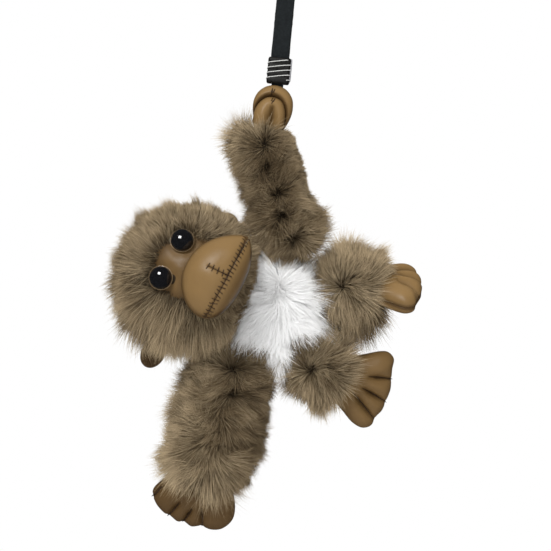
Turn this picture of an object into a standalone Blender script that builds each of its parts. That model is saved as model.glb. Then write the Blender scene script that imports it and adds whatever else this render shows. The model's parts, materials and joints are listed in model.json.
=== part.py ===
"""A stuffed monkey that hangs by its left hand from a webbing strap on a steel D-ring.

The world frame has +Z up along the taut strap, +X to the side and -Y towards the monkey's
front. The origin is the highest point inside the D-ring, where it rests on what it hangs from.
The monkey hangs sideways, so its torso has a frame of its own: X to the monkey's left, Y to its
back and Z towards its head. Every limb has a frame with its origin on the limb's joint, -Z along
the limb and X on the joint's axis.
"""

import math

import bmesh
import bpy
from mathutils import Matrix, Vector

MM = 0.001
GAP = 0.3 * MM  # between pieces that touch
SOCKET_GAP = 1.2 * MM  # between a limb's round root and the torso that it turns in
ROUND = 16  # points round a limb, a paw or the torso

# D-ring and strap
RING_WIRE = 2.2 * MM
RING_ROOM = 1.5 * MM  # between the strap's edge and the wire
RING_LEG = 3.0 * MM
RING_ARC_STEPS = 10
STRAP_WIDTH = 10.0 * MM
STRAP_THICK = 1.3 * MM
RING_HALF_WIDTH = STRAP_WIDTH / 2 + RING_ROOM + RING_WIRE / 2  # to the wire's centre line
STRAP_DROP = 62.0 * MM  # from the ring's bar to the top of the hand
STRAP_FOLD = 10.0 * MM  # length of the tail that is sewn back on the strap
STRAP_TONGUE = 12.0 * MM  # the strap's end, sewn into the hand
FLEX_ROOM = 1.2 * MM  # bare webbing that bends between the keeper and the hand
KEEPER_HEIGHT = 14.0 * MM
KEEPER_WALL = 1.5 * MM
KEEPER_DEPTH = 5.4 * MM
BINDING_THREAD = 0.6 * MM
BINDING_TURNS = 4
BINDING_STEPS = 16  # straight runs in each turn
EDGE_WIDTH = 1.0 * MM

# Left hand, closed on the strap
FIST_HALF_WIDTH = 10.4 * MM
FIST_HALF_LENGTH = 14.5 * MM
FIST_HALF_DEPTH = 7.8 * MM
FIST_SIDESTEP = 3.0 * MM  # the fist leans this far to the monkey's right at the wrist
THUMB = Vector((7.6, 5.2, 10.0)) * MM  # half sizes of the palm lobe that the fingers close on
THUMB_OUT = 5.4 * MM  # how far the lobe's centre lies in front of the fist's
THUMB_DOWN = 3.0 * MM
LEATHER = 1.2 * MM

# Left arm, which carries the monkey
LEFT_ARM_SLANT = 20.5  # degrees from the strap's line
LEFT_ARM_LENGTH = 60.0 * MM  # from the shoulder's joint to the cuff
LEFT_ARM_RADIUS = 19.0 * MM
LEFT_ARM_FLAT = 0.98  # the limb's width over its depth
LEFT_CUFF_SIDESTEP = 5.0 * MM  # the cuff is off the fist's middle by this

# Torso
BODY_LEAN = 66.0  # degrees that the body is turned towards its own right side
TORSO = Vector((31.0, 22.0, 37.0)) * MM  # half sizes
BELLY_SEAM = 4.0 * MM  # the white front panel ends this far in front of the torso's middle
TORSO_PILE = 5.0 * MM

# Joints, in the torso's frame
LEFT_SHOULDER = Vector((44.0, -8.0, 12.7)) * MM
RIGHT_SHOULDER = Vector((-44.5, -3.0, -2.5)) * MM
LEFT_HIP = Vector((34.7, -2.0, -33.0)) * MM
RIGHT_HIP = Vector((-14.2, -2.0, -42.5)) * MM

# Right arm and legs. An angle is from straight down the body, outwards.
RIGHT_ARM_LENGTH = 58.0 * MM
RIGHT_ARM_RADIUS = 21.0 * MM
RIGHT_ARM_FLAT = 1.08
RIGHT_ARM_FLARE = 1.12  # how much wider it is at the cuff than at the shoulder
RIGHT_ARM_ANGLE = 76.0
LEG_LENGTH = 22.0 * MM
LEG_RADIUS = 19.5 * MM
LEG_FLAT = 1.0
LEFT_LEG_ANGLE = 24.0
RIGHT_LEG_ANGLE = -8.0
LIMB_PILE = 5.0 * MM

# Paws: half width, half depth and half length, and how far they stand out of the cuff
HAND = Vector((21.5, 8.0, 17.0)) * MM
HAND_OUT = 21.0 * MM
FOOT = Vector((22.0, 8.5, 18.0)) * MM
FOOT_OUT = 17.0 * MM
PAW_FLARE = 0.35  # how much wider the toes are than the heel
LEFT_FOOT_TWIST = 62.0  # degrees about the leg
HAND_TWIST = 0.0
RIGHT_FOOT_TWIST = 0.0

# Head
HEAD_RADIUS = 39.0 * MM
HEAD_PILE = 6.5 * MM
HEAD_FORWARD = 13.0 * MM  # the head's centre is this far in front of the torso's
HEAD_ROOM_LEFT = 1.0 * MM  # between the head and the left arm's root
HEAD_ROOM_RIGHT = 1.0 * MM
HEAD_TURN = 6.5  # degrees to the monkey's left
HEAD_POINTS = 24
FACE_HALF_WIDTH = 25.0 * MM
FACE_HALF_HEIGHT = 23.0 * MM
FACE_UP = 2.0 * MM
MASK_INSET = 3.8 * MM  # the mask lies this far under the brushed fur's surface
MASK_RADIUS = HEAD_RADIUS - MASK_INSET
MUZZLE = Vector((23.7, 15.5, 15.5)) * MM  # half sizes
MUZZLE_PROUD = 2.3 * MM  # of its middle, in front of the mask
MUZZLE_OUT = MASK_RADIUS + MUZZLE_PROUD
MUZZLE_DOWN = 12.0 * MM
MUZZLE_SIDE = 4.5 * MM  # the stuffed muzzle has slipped this far to the monkey's left
MOUTH_DOWN = 6.3 * MM  # the mouth's seam is this far under the muzzle's middle
MOUTH_GAP = 0.4 * MM
SEAM_THREAD = 0.8 * MM
NOSE_SEAM = 11.0 * MM  # length of the upright seam over the mouth
EYE_RADIUS = 6.1 * MM
EYE_HEIGHT = 4.6 * MM
EYE_FLANGE = Vector((6.6, 0.8)) * MM  # radius and thickness
EYE_SHANK = Vector((1.6, 6.8)) * MM  # radius and length
EYE_APART = 10.9 * MM  # from the face's middle
EYE_UP = 11.2 * MM
EYE_PROUD = 1.8 * MM  # the flange stands this far out of the mask, on its padding
EYE_TOE_OUT = 0.35  # 1 would point the eyes straight out of the head's middle
EYE_SHANK_END = 0.0 * MM  # how much of the shank stands out behind the washer
WASHER = Vector((5.5, 1.2)) * MM  # radius and thickness
EAR = Vector((6.0, 2.4, 7.5)) * MM
EAR_UP = -2.5 * MM
EAR_BACK = 13.0 * MM
EAR_OUT = 4.0 * MM  # the ear's middle is this far outside the head's fur

COLOURS = {
    "brown_fur": (0.19, 0.145, 0.095, 0.9, 0.0),
    "white_fur": (0.85, 0.85, 0.82, 0.9, 0.0),
    "tan_leather": (0.36, 0.235, 0.12, 0.5, 0.0),
    "stuffing": (0.9, 0.9, 0.88, 1.0, 0.0),
    "black_gloss": (0.008, 0.008, 0.01, 0.08, 0.0),
    "white_plastic": (0.8, 0.8, 0.78, 0.4, 0.0),
    "black_webbing": (0.016, 0.02, 0.023, 0.8, 0.0),
    "black_leather": (0.02, 0.02, 0.018, 0.6, 0.0),
    "grey_edge": (0.3, 0.3, 0.31, 0.5, 0.0),
    "white_thread": (0.75, 0.75, 0.72, 0.6, 0.0),
    "brown_thread": (0.09, 0.045, 0.015, 0.7, 0.0),
    "steel": (0.62, 0.62, 0.6, 0.25, 1.0),
}


def material(name):
    found = bpy.data.materials.get(name)
    if found:
        return found
    made = bpy.data.materials.new(name)
    made.use_nodes = True
    shader = made.node_tree.nodes["Principled BSDF"]
    red, green, blue, rough, metal = COLOURS[name]
    shader.inputs["Base Color"].default_value = (red, green, blue, 1)
    shader.inputs["Roughness"].default_value = rough
    shader.inputs["Metallic"].default_value = metal
    return made


def frame(name, matrix, parent=None):
    """An empty that places what is parented to it."""
    empty = bpy.data.objects.new(name, None)
    bpy.context.scene.collection.objects.link(empty)
    empty.parent = parent
    empty.matrix_basis = matrix
    return empty


def piece(name, mesh, colour, parent=None, place=None):
    """A named object from a bmesh, in its parent's frame."""
    data = bpy.data.meshes.new(name)
    mesh.to_mesh(data)
    mesh.free()
    data.shade_smooth()
    data.set_sharp_from_angle(angle=math.radians(40))
    made = bpy.data.objects.new(name, data)
    bpy.context.scene.collection.objects.link(made)
    data.materials.append(material(colour))
    made.parent = parent
    made.matrix_basis = place or Matrix.Identity(4)
    return made


def helper(name, mesh, parent=None, place=None):
    """A cutter, which no render or build shows."""
    made = piece(name, mesh, "stuffing", parent, place)
    made.hide_render = True
    made.display_type = "WIRE"
    return made


def boolean(target, other, operation="DIFFERENCE"):
    modifier = target.modifiers.new(f"{operation.lower()}_{other.name}", "BOOLEAN")
    modifier.operation = operation
    modifier.object = other
    modifier.solver = "EXACT"


def facing_out(mesh):
    bmesh.ops.recalc_face_normals(mesh, faces=mesh.faces)
    if mesh.calc_volume(signed=True) < 0:
        bmesh.ops.reverse_faces(mesh, faces=mesh.faces)
    return mesh


def skin(rings):
    """A closed bmesh over rings of points: a ring of one point is a pole, and with no pole the
    last ring joins the first."""
    mesh = bmesh.new()
    rows = [[mesh.verts.new(point) for point in ring] for ring in rings]
    pairs = list(zip(rows, rows[1:]))
    if len(rows[0]) > 1:
        pairs.append((rows[-1], rows[0]))
    for first, second in pairs:
        count = max(len(first), len(second))
        for i in range(count):
            corners = [first[i % len(first)], first[(i + 1) % len(first)]]
            corners += [second[(i + 1) % len(second)], second[i % len(second)]]
            mesh.faces.new(dict.fromkeys(corners))
    return facing_out(mesh)


def oval(half_x, half_y, z, points=ROUND):
    turn = [2 * math.pi * i / points for i in range(points)]
    return [Vector((half_x * math.cos(a), half_y * math.sin(a), z)) for a in turn]


def spun(profile, points=ROUND):
    """A solid turned about Z, from (radius, height) pairs. A radius of 0 is a pole."""
    return skin([oval(r, r, z, points) if r else [Vector((0, 0, z))] for r, z in profile])


def ball(points=ROUND, rings=10):
    """A ball of radius 1 with its poles on Z."""
    polars = [math.pi * i / rings for i in range(1, rings)]
    return spun([(0, 1)] + [(math.sin(a), math.cos(a)) for a in polars] + [(0, -1)], points)


def ellipsoid(half, points=ROUND, rings=10):
    mesh = ball(points, rings)
    bmesh.ops.scale(mesh, vec=half, verts=mesh.verts)
    return mesh


def grown(half, by):
    return half + Vector((by, by, by))


def hollow(outer, inner):
    """One bmesh with the outer surface and, inside it, the inner surface facing inwards."""
    bmesh.ops.reverse_faces(inner, faces=inner.faces)
    spare = bpy.data.meshes.new("spare")
    inner.to_mesh(spare)
    inner.free()
    outer.from_mesh(spare)
    bpy.data.meshes.remove(spare)
    return outer


def block(half):
    mesh = bmesh.new()
    bmesh.ops.create_cube(mesh, size=2.0)
    bmesh.ops.scale(mesh, vec=half, verts=mesh.verts)
    return mesh


def cube(reach):
    return block(Vector((reach, reach, reach)))


def tube(radius, path, sides=6):
    """A round bar along a list of points in a plane that holds X, or along any smooth line."""
    rows = []
    for i, point in enumerate(path):
        ahead = (path[min(i + 1, len(path) - 1)] - path[max(i - 1, 0)]).normalized()
        # Each ring's first point follows on from the ring before it, so that the bar has no twist.
        across = across - ahead * across.dot(ahead) if i else ahead.orthogonal()
        across.normalize()
        other = ahead.cross(across)
        turn = [2 * math.pi * k / sides for k in range(sides)]
        rows.append([point + radius * (math.cos(a) * across + math.sin(a) * other) for a in turn])
    return skin([[path[0]]] + rows + [[path[-1]]])


def shifted(x, y, z):
    return Matrix.Translation((x, y, z))


def turned(degrees, axis):
    return Matrix.Rotation(math.radians(degrees), 4, axis)


# Strap and ring ------------------------------------------------------------------------------

def ring_top():
    """How far the bar's centre line is under the highest point inside the ring."""
    return RING_LEG + RING_HALF_WIDTH - RING_WIRE / 2


def hang_ring(root):
    """A D-ring: a straight bar with two legs and a half circle over them, as one bent wire."""
    outline = [Vector((-RING_HALF_WIDTH, 0, 0)), Vector((RING_HALF_WIDTH, 0, 0))]
    for i in range(RING_ARC_STEPS + 1):
        angle = math.pi * i / RING_ARC_STEPS
        reach = RING_HALF_WIDTH
        outline.append(Vector((reach * math.cos(angle), 0, RING_LEG + reach * math.sin(angle))))
    rows = []
    for i, point in enumerate(outline):
        before = (point - outline[i - 1]).normalized()
        after = (outline[(i + 1) % len(outline)] - point).normalized()
        ahead = (before + after).normalized()
        outward = Vector((ahead.z, 0, -ahead.x)) / max(0.5, ahead.dot(after))
        turn = [2 * math.pi * k / 8 for k in range(8)]
        spokes = [math.cos(a) * outward + math.sin(a) * Vector((0, 1, 0)) for a in turn]
        rows.append([point + RING_WIRE / 2 * spoke for spoke in spokes])
    return piece("hang_ring", skin(rows), "steel", root)


def strap_webbing(strap):
    """Webbing that goes up from the hand, round the ring's bar, and down behind itself as a tail."""
    loop = RING_WIRE / 2 + GAP + STRAP_THICK / 2
    layer = STRAP_THICK + GAP
    tail_end = -loop - 2 * STRAP_THICK - STRAP_FOLD
    middle = [(0, -STRAP_DROP + FLEX_ROOM / 2), (0, tail_end - STRAP_THICK), (0, -2.6 * loop)]
    for i in range(9):
        angle = math.pi * i / 8
        middle.append((-loop * math.cos(angle), loop * math.sin(angle)))
    middle += [(layer, -2.6 * loop), (layer, tail_end)]
    sides = ([], [])
    for i, (y, z) in enumerate(middle):
        here = Vector((y, z))
        before = (here - Vector(middle[i - 1])).normalized() if i else None
        after = (Vector(middle[i + 1]) - here).normalized() if i + 1 < len(middle) else before
        before = before or after
        ahead = (before + after).normalized()
        out = Vector((-ahead.y, ahead.x)) * STRAP_THICK / 2 / max(0.7, ahead.dot(after))
        sides[0].append(here + out)
        sides[1].append(here - out)
    mesh = bmesh.new()
    for near, far in zip(zip(sides[0], sides[0][1:]), zip(sides[1], sides[1][1:])):
        corners = [near[0], near[1], far[1], far[0]]
        mesh.faces.new([mesh.verts.new((-STRAP_WIDTH / 2, y, z)) for y, z in corners])
    bmesh.ops.remove_doubles(mesh, verts=mesh.verts, dist=0.001 * MM)
    made = bmesh.ops.extrude_face_region(mesh, geom=mesh.faces[:])
    moved = [item for item in made["geom"] if isinstance(item, bmesh.types.BMVert)]
    bmesh.ops.translate(mesh, vec=(STRAP_WIDTH, 0, 0), verts=moved)
    piece("strap_webbing", facing_out(mesh), "black_webbing", strap)
    tack = Vector((0.4 * STRAP_WIDTH, 0.25 * MM, 2.4 * MM))
    behind = shifted(0, layer + STRAP_THICK / 2 + GAP + tack.y, tail_end + tack.z + 1.0 * MM)
    piece("strap_bartack", block(tack), "white_thread", strap, behind)


def keeper_half():
    return Vector((STRAP_WIDTH / 2 + GAP + KEEPER_WALL, KEEPER_DEPTH / 2, KEEPER_HEIGHT / 2))


def strap_keeper(strap):
    """A leather sleeve round the strap just over the hand, bound with four turns of thread."""
    half = keeper_half()
    middle = -STRAP_DROP + FLEX_ROOM + half.z
    hole = Vector((STRAP_WIDTH / 2 + GAP, STRAP_THICK / 2 + GAP, half.z))
    corners = ((-1, -1), (1, -1), (1, 1), (-1, 1))
    rows = []
    for size, end in ((half, 1), (half, -1), (hole, -1), (hole, 1)):
        rows.append([Vector((i * size.x, j * size.y, middle + end * half.z)) for i, j in corners])
    piece("strap_keeper", skin(rows), "black_leather", strap)
    out = GAP + BINDING_THREAD / 2
    points = []
    rise = (2 * half.z - 3 * BINDING_THREAD) / BINDING_TURNS
    for i in range(BINDING_TURNS * BINDING_STEPS + 1):
        angle = 2 * math.pi * i / BINDING_STEPS
        across, depth = math.sin(angle), -math.cos(angle)
        reach = min((half.x + out) / max(abs(across), 1e-6), (half.y + out) / max(abs(depth), 1e-6))
        # A turn is squared off to the sleeve's flat sides, and a little round at its edges.
        x = max(-half.x - out, min(half.x + out, reach * across))
        y = max(-half.y - out, min(half.y + out, reach * depth))
        z = middle - half.z + 1.5 * BINDING_THREAD + rise * i / BINDING_STEPS
        points.append(Vector((x, y, z)))
    piece("keeper_binding", tube(BINDING_THREAD / 2, points, 5), "white_thread", strap)
    edge = Vector((EDGE_WIDTH / 2, 0.34 * KEEPER_DEPTH, half.z - BINDING_THREAD))
    beside = shifted(half.x + out + BINDING_THREAD / 2 + GAP + edge.x, 0, middle)
    piece("keeper_edge", block(edge), "grey_edge", strap, beside)


# Paws ----------------------------------------------------------------------------------------

def paw_section(half, z):
    """Half width and half depth of a paw at a height between -half.z, its toes, and half.z, its heel."""
    cosine = max(-1.0, min(1.0, -z / half.z))
    sine = math.sqrt(1 - cosine * cosine)
    return half.x * sine * (1 + PAW_FLARE * cosine), half.y * sine


def paw_surface(half, rings=8):
    """The paw's outside as an egg with its wide end, the toes, at -Z."""
    rows = [[Vector((0, 0, half.z))]]
    for i in range(1, rings):
        z = half.z * math.cos(math.pi * i / rings)
        rows.append(oval(*paw_section(half, z), z))
    return skin(rows + [[Vector((0, 0, -half.z))]])


def paw(names, half, parent, place):
    """Two leather panels that meet along the paw's edge, over a stuffed core."""
    front, back, core = names
    reach = 2 * half.length
    for name, side in ((front, -1), (back, 1)):
        shell = hollow(paw_surface(half), paw_surface(grown(half, -LEATHER)))
        made = piece(name, shell, "tan_leather", parent, place)
        beyond = Matrix.Translation((0, -side * (reach - GAP / 2), 0))
        boolean(made, helper(f"cut_{name}", cube(reach), parent, place @ beyond))
    piece(core, paw_surface(grown(half, -LEATHER - GAP)), "stuffing", parent, place)


# Limbs ---------------------------------------------------------------------------------------

def limb_surface(radius, flat, flare, length):
    """A closed sleeve: round at the joint, widened by the flare, and rounded off at the cuff."""
    rows = [[Vector((0, 0, radius))]]
    for i in range(1, 5):
        polar = math.pi / 2 * i / 4
        ring = radius * math.sin(polar)
        rows.append(oval(flat * ring, ring, radius * math.cos(polar)))
    end_round = 0.5 * radius
    straight = length - end_round
    wide = flat * radius * flare
    if straight > radius:
        rows.append(oval((flat * radius + wide) / 2, radius, -0.4 * straight))
    rows.append(oval(wide, radius, -straight))
    for share in (0.5, 0.85):
        narrow = math.sqrt(1 - 0.9 * share**2)
        rows.append(oval(wide * narrow, radius * narrow, -straight - share * end_round))
    rows.append(oval(wide * 0.35, radius * 0.35, -length))
    return skin(rows + [[Vector((0, 0, -length))]])


def limb(name, radius, flat, flare, length, rooms, parent):
    """A fur sleeve and the stuffing in it. The paw's room is cut from both, which opens the cuff."""
    def inside(wall):
        less = radius - wall
        return limb_surface(less, (flat * radius - wall) / less, flare, length - wall)

    sleeve = hollow(limb_surface(radius, flat, flare, length), inside(LIMB_PILE))
    made = [piece(f"{name}_fur", sleeve, "brown_fur", parent)]
    made.append(piece(f"{name}_stuffing", inside(LIMB_PILE + GAP), "stuffing", parent))
    for target in made:
        for room in rooms:
            boolean(target, room)


def furred_limb(name, radius, flat, flare, length, paw_names, paw_half, paw_out, twist, parent):
    """A limb with a paw whose heel is held in the cuff."""
    place = shifted(0, 0, -length - paw_out + paw_half.z) @ turned(twist, "Z")
    room = helper(f"cut_{name}_cuff", paw_surface(grown(paw_half, GAP)), parent, place)
    limb(name, radius, flat, flare, length, [room], parent)
    paw(paw_names, paw_half, parent, place)


def left_arm(arm, fist):
    """The arm that holds the strap. Its fist is a hood of fingers closed on a palm lobe."""
    half = Vector((FIST_HALF_WIDTH, FIST_HALF_DEPTH, FIST_HALF_LENGTH))
    over = turned(180, "Y")  # the fist's wide end is up
    lobe = shifted(0, -THUMB_OUT, -THUMB_DOWN)
    shell = hollow(paw_surface(half), paw_surface(grown(half, -LEATHER)))
    hood = piece("left_hand_fingers", shell, "tan_leather", fist, over)
    filling = paw_surface(grown(half, -LEATHER - GAP))
    core = piece("left_hand_stuffing", filling, "stuffing", fist, over)
    clear = helper("cut_palm_lobe", ellipsoid(grown(THUMB, GAP), 14, 8), fist, lobe)
    slot_half = Vector((STRAP_WIDTH / 2 + GAP, STRAP_THICK / 2 + GAP, STRAP_TONGUE / 2 + GAP))
    top = FIST_HALF_LENGTH - STRAP_TONGUE / 2
    slot = helper("cut_tongue", block(slot_half), fist, shifted(0, 0, top))
    for made in (hood, core):
        boolean(made, clear)
        boolean(made, slot)
    palm = piece("left_hand_palm", ellipsoid(THUMB, 14, 8), "tan_leather", fist, lobe)
    boolean(palm, slot)
    tongue = Vector((STRAP_WIDTH / 2, STRAP_THICK / 2, STRAP_TONGUE / 2))
    piece("strap_tongue", block(tongue), "black_webbing", fist, shifted(0, 0, top))
    room = helper("cut_fist", paw_surface(grown(half, GAP)), fist, over)
    limb("left_arm", LEFT_ARM_RADIUS, LEFT_ARM_FLAT, 1.0, LEFT_ARM_LENGTH, [room, clear], arm)


# Torso and head ------------------------------------------------------------------------------

def head_place():
    """The head's centre in the torso's frame, a stated gap from the two arms' round roots."""
    def flat_distance(radius, room, joint):
        return math.sqrt((HEAD_RADIUS + radius + room) ** 2 - (HEAD_FORWARD + joint.y) ** 2)

    left = flat_distance(LEFT_ARM_RADIUS, HEAD_ROOM_LEFT, LEFT_SHOULDER)
    right = flat_distance(RIGHT_ARM_RADIUS * RIGHT_ARM_FLAT, HEAD_ROOM_RIGHT, RIGHT_SHOULDER)
    base = Vector((RIGHT_SHOULDER.x, RIGHT_SHOULDER.z))
    across = Vector((LEFT_SHOULDER.x, LEFT_SHOULDER.z)) - base
    along = (right**2 - left**2 + across.length_squared) / (2 * across.length)
    rise = math.sqrt(right**2 - along**2)
    unit = across.normalized()
    spot = base + unit * along + Vector((-unit.y, unit.x)) * rise
    return Vector((spot.x, -HEAD_FORWARD, spot.y))


def torso(body, sockets):
    """A brown back panel and a white front panel over a stuffed core, with the sockets cut out."""
    inner = grown(TORSO, -TORSO_PILE)
    reach = 3 * TORSO.z
    made = [piece("torso_stuffing", ellipsoid(grown(inner, -GAP)), "stuffing", body)]
    for name, colour, side in (("torso_fur", "brown_fur", -1), ("belly_fur", "white_fur", 1)):
        panel = piece(name, hollow(ellipsoid(TORSO), ellipsoid(inner)), colour, body)
        beyond = shifted(0, -BELLY_SEAM + side * (reach - GAP / 2), 0)
        boolean(panel, helper(f"cut_{name}", cube(reach), body, beyond))
        made.append(panel)
    for target in made:
        for socket in sockets:
            boolean(target, socket)


def socket(name, width, radius, frame_of_limb):
    """The round room in the torso for a limb's root, whose width and radius it takes."""
    half = grown(Vector((width, radius, radius)), SOCKET_GAP)
    return helper(f"socket_{name}", ellipsoid(half, 20, 12), frame_of_limb)


def plug(name, radius, top, bottom, parent, place):
    profile = [(0, top), (radius, top), (radius, bottom), (0, bottom)]
    return helper(name, spun(profile), parent, place)


def eye(name, side, head):
    """A domed eye with a flange and a shank, and the washer that locks it behind the mask. It
    returns the cutters that make room for each."""
    out = math.sqrt(MASK_RADIUS**2 - EYE_APART**2 - EYE_UP**2)
    seat = Vector((side * EYE_APART, -out, EYE_UP))
    aim = Vector((seat.x * EYE_TOE_OUT, seat.y, seat.z * EYE_TOE_OUT)).normalized()
    turn = aim.to_track_quat("Z", "Y").to_matrix().to_4x4()
    place = Matrix.Translation(seat + aim * EYE_PROUD) @ turn
    flange, rim = EYE_FLANGE
    shank, length = EYE_SHANK
    polars = [math.pi / 2 * i / 4 for i in range(1, 5)]
    dome = [(EYE_RADIUS * math.sin(a), rim + EYE_HEIGHT * math.cos(a)) for a in polars]
    foot = [(flange, rim), (flange, 0), (shank, 0), (shank, -length), (0, -length)]
    piece(f"{name}_eye", spun([(0, rim + EYE_HEIGHT)] + dome + foot), "black_gloss", head, place)
    face = WASHER.y - length + EYE_SHANK_END
    back = face - WASHER.y
    hole = shank + GAP
    ring = [(WASHER.x, face), (WASHER.x, back), (hole, back), (hole, face)]
    piece(f"{name}_eye_washer", spun(ring), "white_plastic", head, place)
    pocket = min(back, -length) - GAP
    return [plug(f"seat_{name}_eye", flange + GAP, EYE_HEIGHT, -GAP, head, place),
            plug(f"hole_{name}_eye", hole, rim, pocket, head, place),
            plug(f"room_{name}_washer", WASHER.x + GAP, face + GAP, pocket, head, place)]


def muzzle(head, place, behind):
    """Two leather panels that meet at the mouth, over a stuffed core, and the two seams."""
    reach = 2 * MUZZLE.x
    for name, side in (("muzzle_upper", -1), ("muzzle_lower", 1)):
        shell = hollow(ellipsoid(MUZZLE, 20, 12), ellipsoid(grown(MUZZLE, -LEATHER), 20, 12))
        panel = piece(name, shell, "tan_leather", head, place)
        beyond = place @ shifted(0, 0, -MOUTH_DOWN + side * (reach - MOUTH_GAP / 2))
        boolean(panel, behind)
        boolean(panel, helper(f"cut_{name}", cube(reach), head, beyond))
    core = ellipsoid(grown(MUZZLE, -LEATHER - GAP), 20, 12)
    boolean(piece("muzzle_stuffing", core, "stuffing", head, place), behind)

    def over(x, z):
        """A point for a thread's middle, a gap in front of the muzzle's surface."""
        share = math.sqrt(1 - (x / MUZZLE.x) ** 2 - (z / MUZZLE.z) ** 2)
        return Vector((x, -MUZZLE.y * share - SEAM_THREAD / 2 - GAP, z))

    widest = 0.84 * MUZZLE.x
    steps = [math.sin(math.pi / 2 * i / 6) for i in range(-6, 7)]
    mouth = [over(widest * step, -MOUTH_DOWN) for step in steps]
    piece("mouth_seam", tube(SEAM_THREAD / 2, mouth), "brown_thread", head, place)
    start = -MOUTH_DOWN + SEAM_THREAD + 2 * GAP
    nose = [over(0, start + NOSE_SEAM * i / 5) for i in range(6)]
    piece("nose_seam", tube(SEAM_THREAD / 2, nose), "brown_thread", head, place)


def head_parts(head):
    """A fur hood with an opening for the face, a leather mask, eyes, a muzzle, ears and filling."""
    def around(radius, rings=14):
        return ellipsoid(Vector((radius, radius, radius)), HEAD_POINTS, rings)

    inner = HEAD_RADIUS - HEAD_PILE
    hood = piece("head_fur", hollow(around(HEAD_RADIUS), around(inner, 12)), "brown_fur", head)
    core = piece("head_stuffing", around(inner - GAP, 12), "stuffing", head)
    shell = hollow(around(MASK_RADIUS), around(inner + GAP, 12))
    mask = piece("face_mask", shell, "tan_leather", head)

    forward = turned(90, "X")
    for target, less, operation in ((hood, 0, "DIFFERENCE"), (mask, GAP, "INTERSECT")):
        rows = [oval(FACE_HALF_WIDTH - less, FACE_HALF_HEIGHT - less, z, HEAD_POINTS)
                for z in (2 * HEAD_RADIUS, 0.3 * HEAD_RADIUS)]
        ends = [[Vector((0, 0, row[0].z))] for row in rows]
        opening = skin([ends[0]] + rows + [ends[1]])
        face = helper(f"face_of_{target.name}", opening, head, shifted(0, 0, FACE_UP) @ forward)
        boolean(target, face, operation)

    place = shifted(MUZZLE_SIDE, -MUZZLE_OUT, -MUZZLE_DOWN)
    room = ellipsoid(grown(MUZZLE, GAP), 20, 12)
    boolean(hood, helper("room_muzzle", room, head, place))
    muzzle(head, place, helper("behind_muzzle", around(MASK_RADIUS + GAP), head))

    around_hood = helper("behind_ears", around(HEAD_RADIUS + GAP), head)
    for name, side in (("left", 1), ("right", -1)):
        seat, hole, room = eye(name, side, head)
        for target, cutters in ((mask, (hole, seat, room)), (core, (hole, room))):
            for cutter in cutters:
                boolean(target, cutter)
        reach = math.sqrt(HEAD_RADIUS**2 - EAR_BACK**2) + EAR_OUT
        spot = shifted(side * reach, EAR_BACK, EAR_UP)
        boolean(piece(f"{name}_ear", ellipsoid(EAR, 12, 8), "tan_leather", head, spot), around_hood)


def main():
    for old in list(bpy.data.objects):
        bpy.data.objects.remove(old)
    root = frame("ring_frame", shifted(0, 0, -ring_top()))
    hang_ring(root)
    strap = frame("strap_frame", Matrix.Identity(4), root)
    strap_webbing(strap)
    strap_keeper(strap)

    hand_top = frame("hand_frame", shifted(0, 0, -STRAP_DROP), strap)
    lean = math.degrees(math.atan2(FIST_SIDESTEP, 2 * FIST_HALF_LENGTH))
    to_fist = turned(lean, "Y") @ shifted(0, 0, -FIST_HALF_LENGTH - FLEX_ROOM / 2)
    fist = frame("fist_frame", to_fist, hand_top)
    slant = math.radians(LEFT_ARM_SLANT)
    cuff_at = Vector((-FIST_SIDESTEP - LEFT_CUFF_SIDESTEP, 0, -1.35 * FIST_HALF_LENGTH))
    shoulder_at = cuff_at + LEFT_ARM_LENGTH * Vector((math.sin(slant), 0, -math.cos(slant)))
    to_shoulder = Matrix.Translation(shoulder_at)
    arm = frame("left_arm_frame", to_shoulder @ turned(180 - LEFT_ARM_SLANT, "Y"), hand_top)
    left_arm(arm, fist)
    sockets = [socket("left_shoulder", LEFT_ARM_FLAT * LEFT_ARM_RADIUS, LEFT_ARM_RADIUS, arm)]

    to_torso = to_shoulder @ turned(-BODY_LEAN, "Y") @ Matrix.Translation(-LEFT_SHOULDER)
    body = frame("torso_frame", to_torso, hand_top)

    def limb_frame(name, joint, angle):
        return frame(f"{name}_frame", Matrix.Translation(joint) @ turned(angle, "Y"), body)

    arm = limb_frame("right_arm", RIGHT_SHOULDER, RIGHT_ARM_ANGLE)
    names = ("right_hand_back", "right_hand_palm", "right_hand_stuffing")
    furred_limb("right_arm", RIGHT_ARM_RADIUS, RIGHT_ARM_FLAT, RIGHT_ARM_FLARE, RIGHT_ARM_LENGTH,
                names, HAND, HAND_OUT, HAND_TWIST, arm)
    width = RIGHT_ARM_FLAT * RIGHT_ARM_RADIUS
    sockets.append(socket("right_shoulder", width, RIGHT_ARM_RADIUS, arm))

    for side, hip, angle, twist in (("left", LEFT_HIP, -LEFT_LEG_ANGLE, LEFT_FOOT_TWIST),
                                    ("right", RIGHT_HIP, RIGHT_LEG_ANGLE, RIGHT_FOOT_TWIST)):
        leg = limb_frame(f"{side}_leg", hip, angle)
        names = (f"{side}_foot_upper", f"{side}_foot_sole", f"{side}_foot_stuffing")
        furred_limb(f"{side}_leg", LEG_RADIUS, LEG_FLAT, 1.0, LEG_LENGTH,
                    names, FOOT, FOOT_OUT, twist, leg)
        sockets.append(socket(f"{side}_hip", LEG_FLAT * LEG_RADIUS, LEG_RADIUS, leg))

    to_head = Matrix.Translation(head_place()) @ turned(HEAD_TURN, "Z")
    head = frame("head_frame", to_head, body)
    head_parts(head)
    sockets.append(socket("neck", HEAD_RADIUS, HEAD_RADIUS, head))
    torso(body, sockets)


main()
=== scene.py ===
"""Looks of a stuffed monkey that hangs by one hand from a webbing strap on a D-ring.

Laid out as an add-on: settings, one operator for each group of pieces, and a sidebar panel.
Sizes are in metres unless a name ends in MM. Every limb has a frame with its origin on the
limb's joint, -Z along the limb, Y away from the viewer's side and X on the joint's axis.
"""

import json
import math

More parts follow.
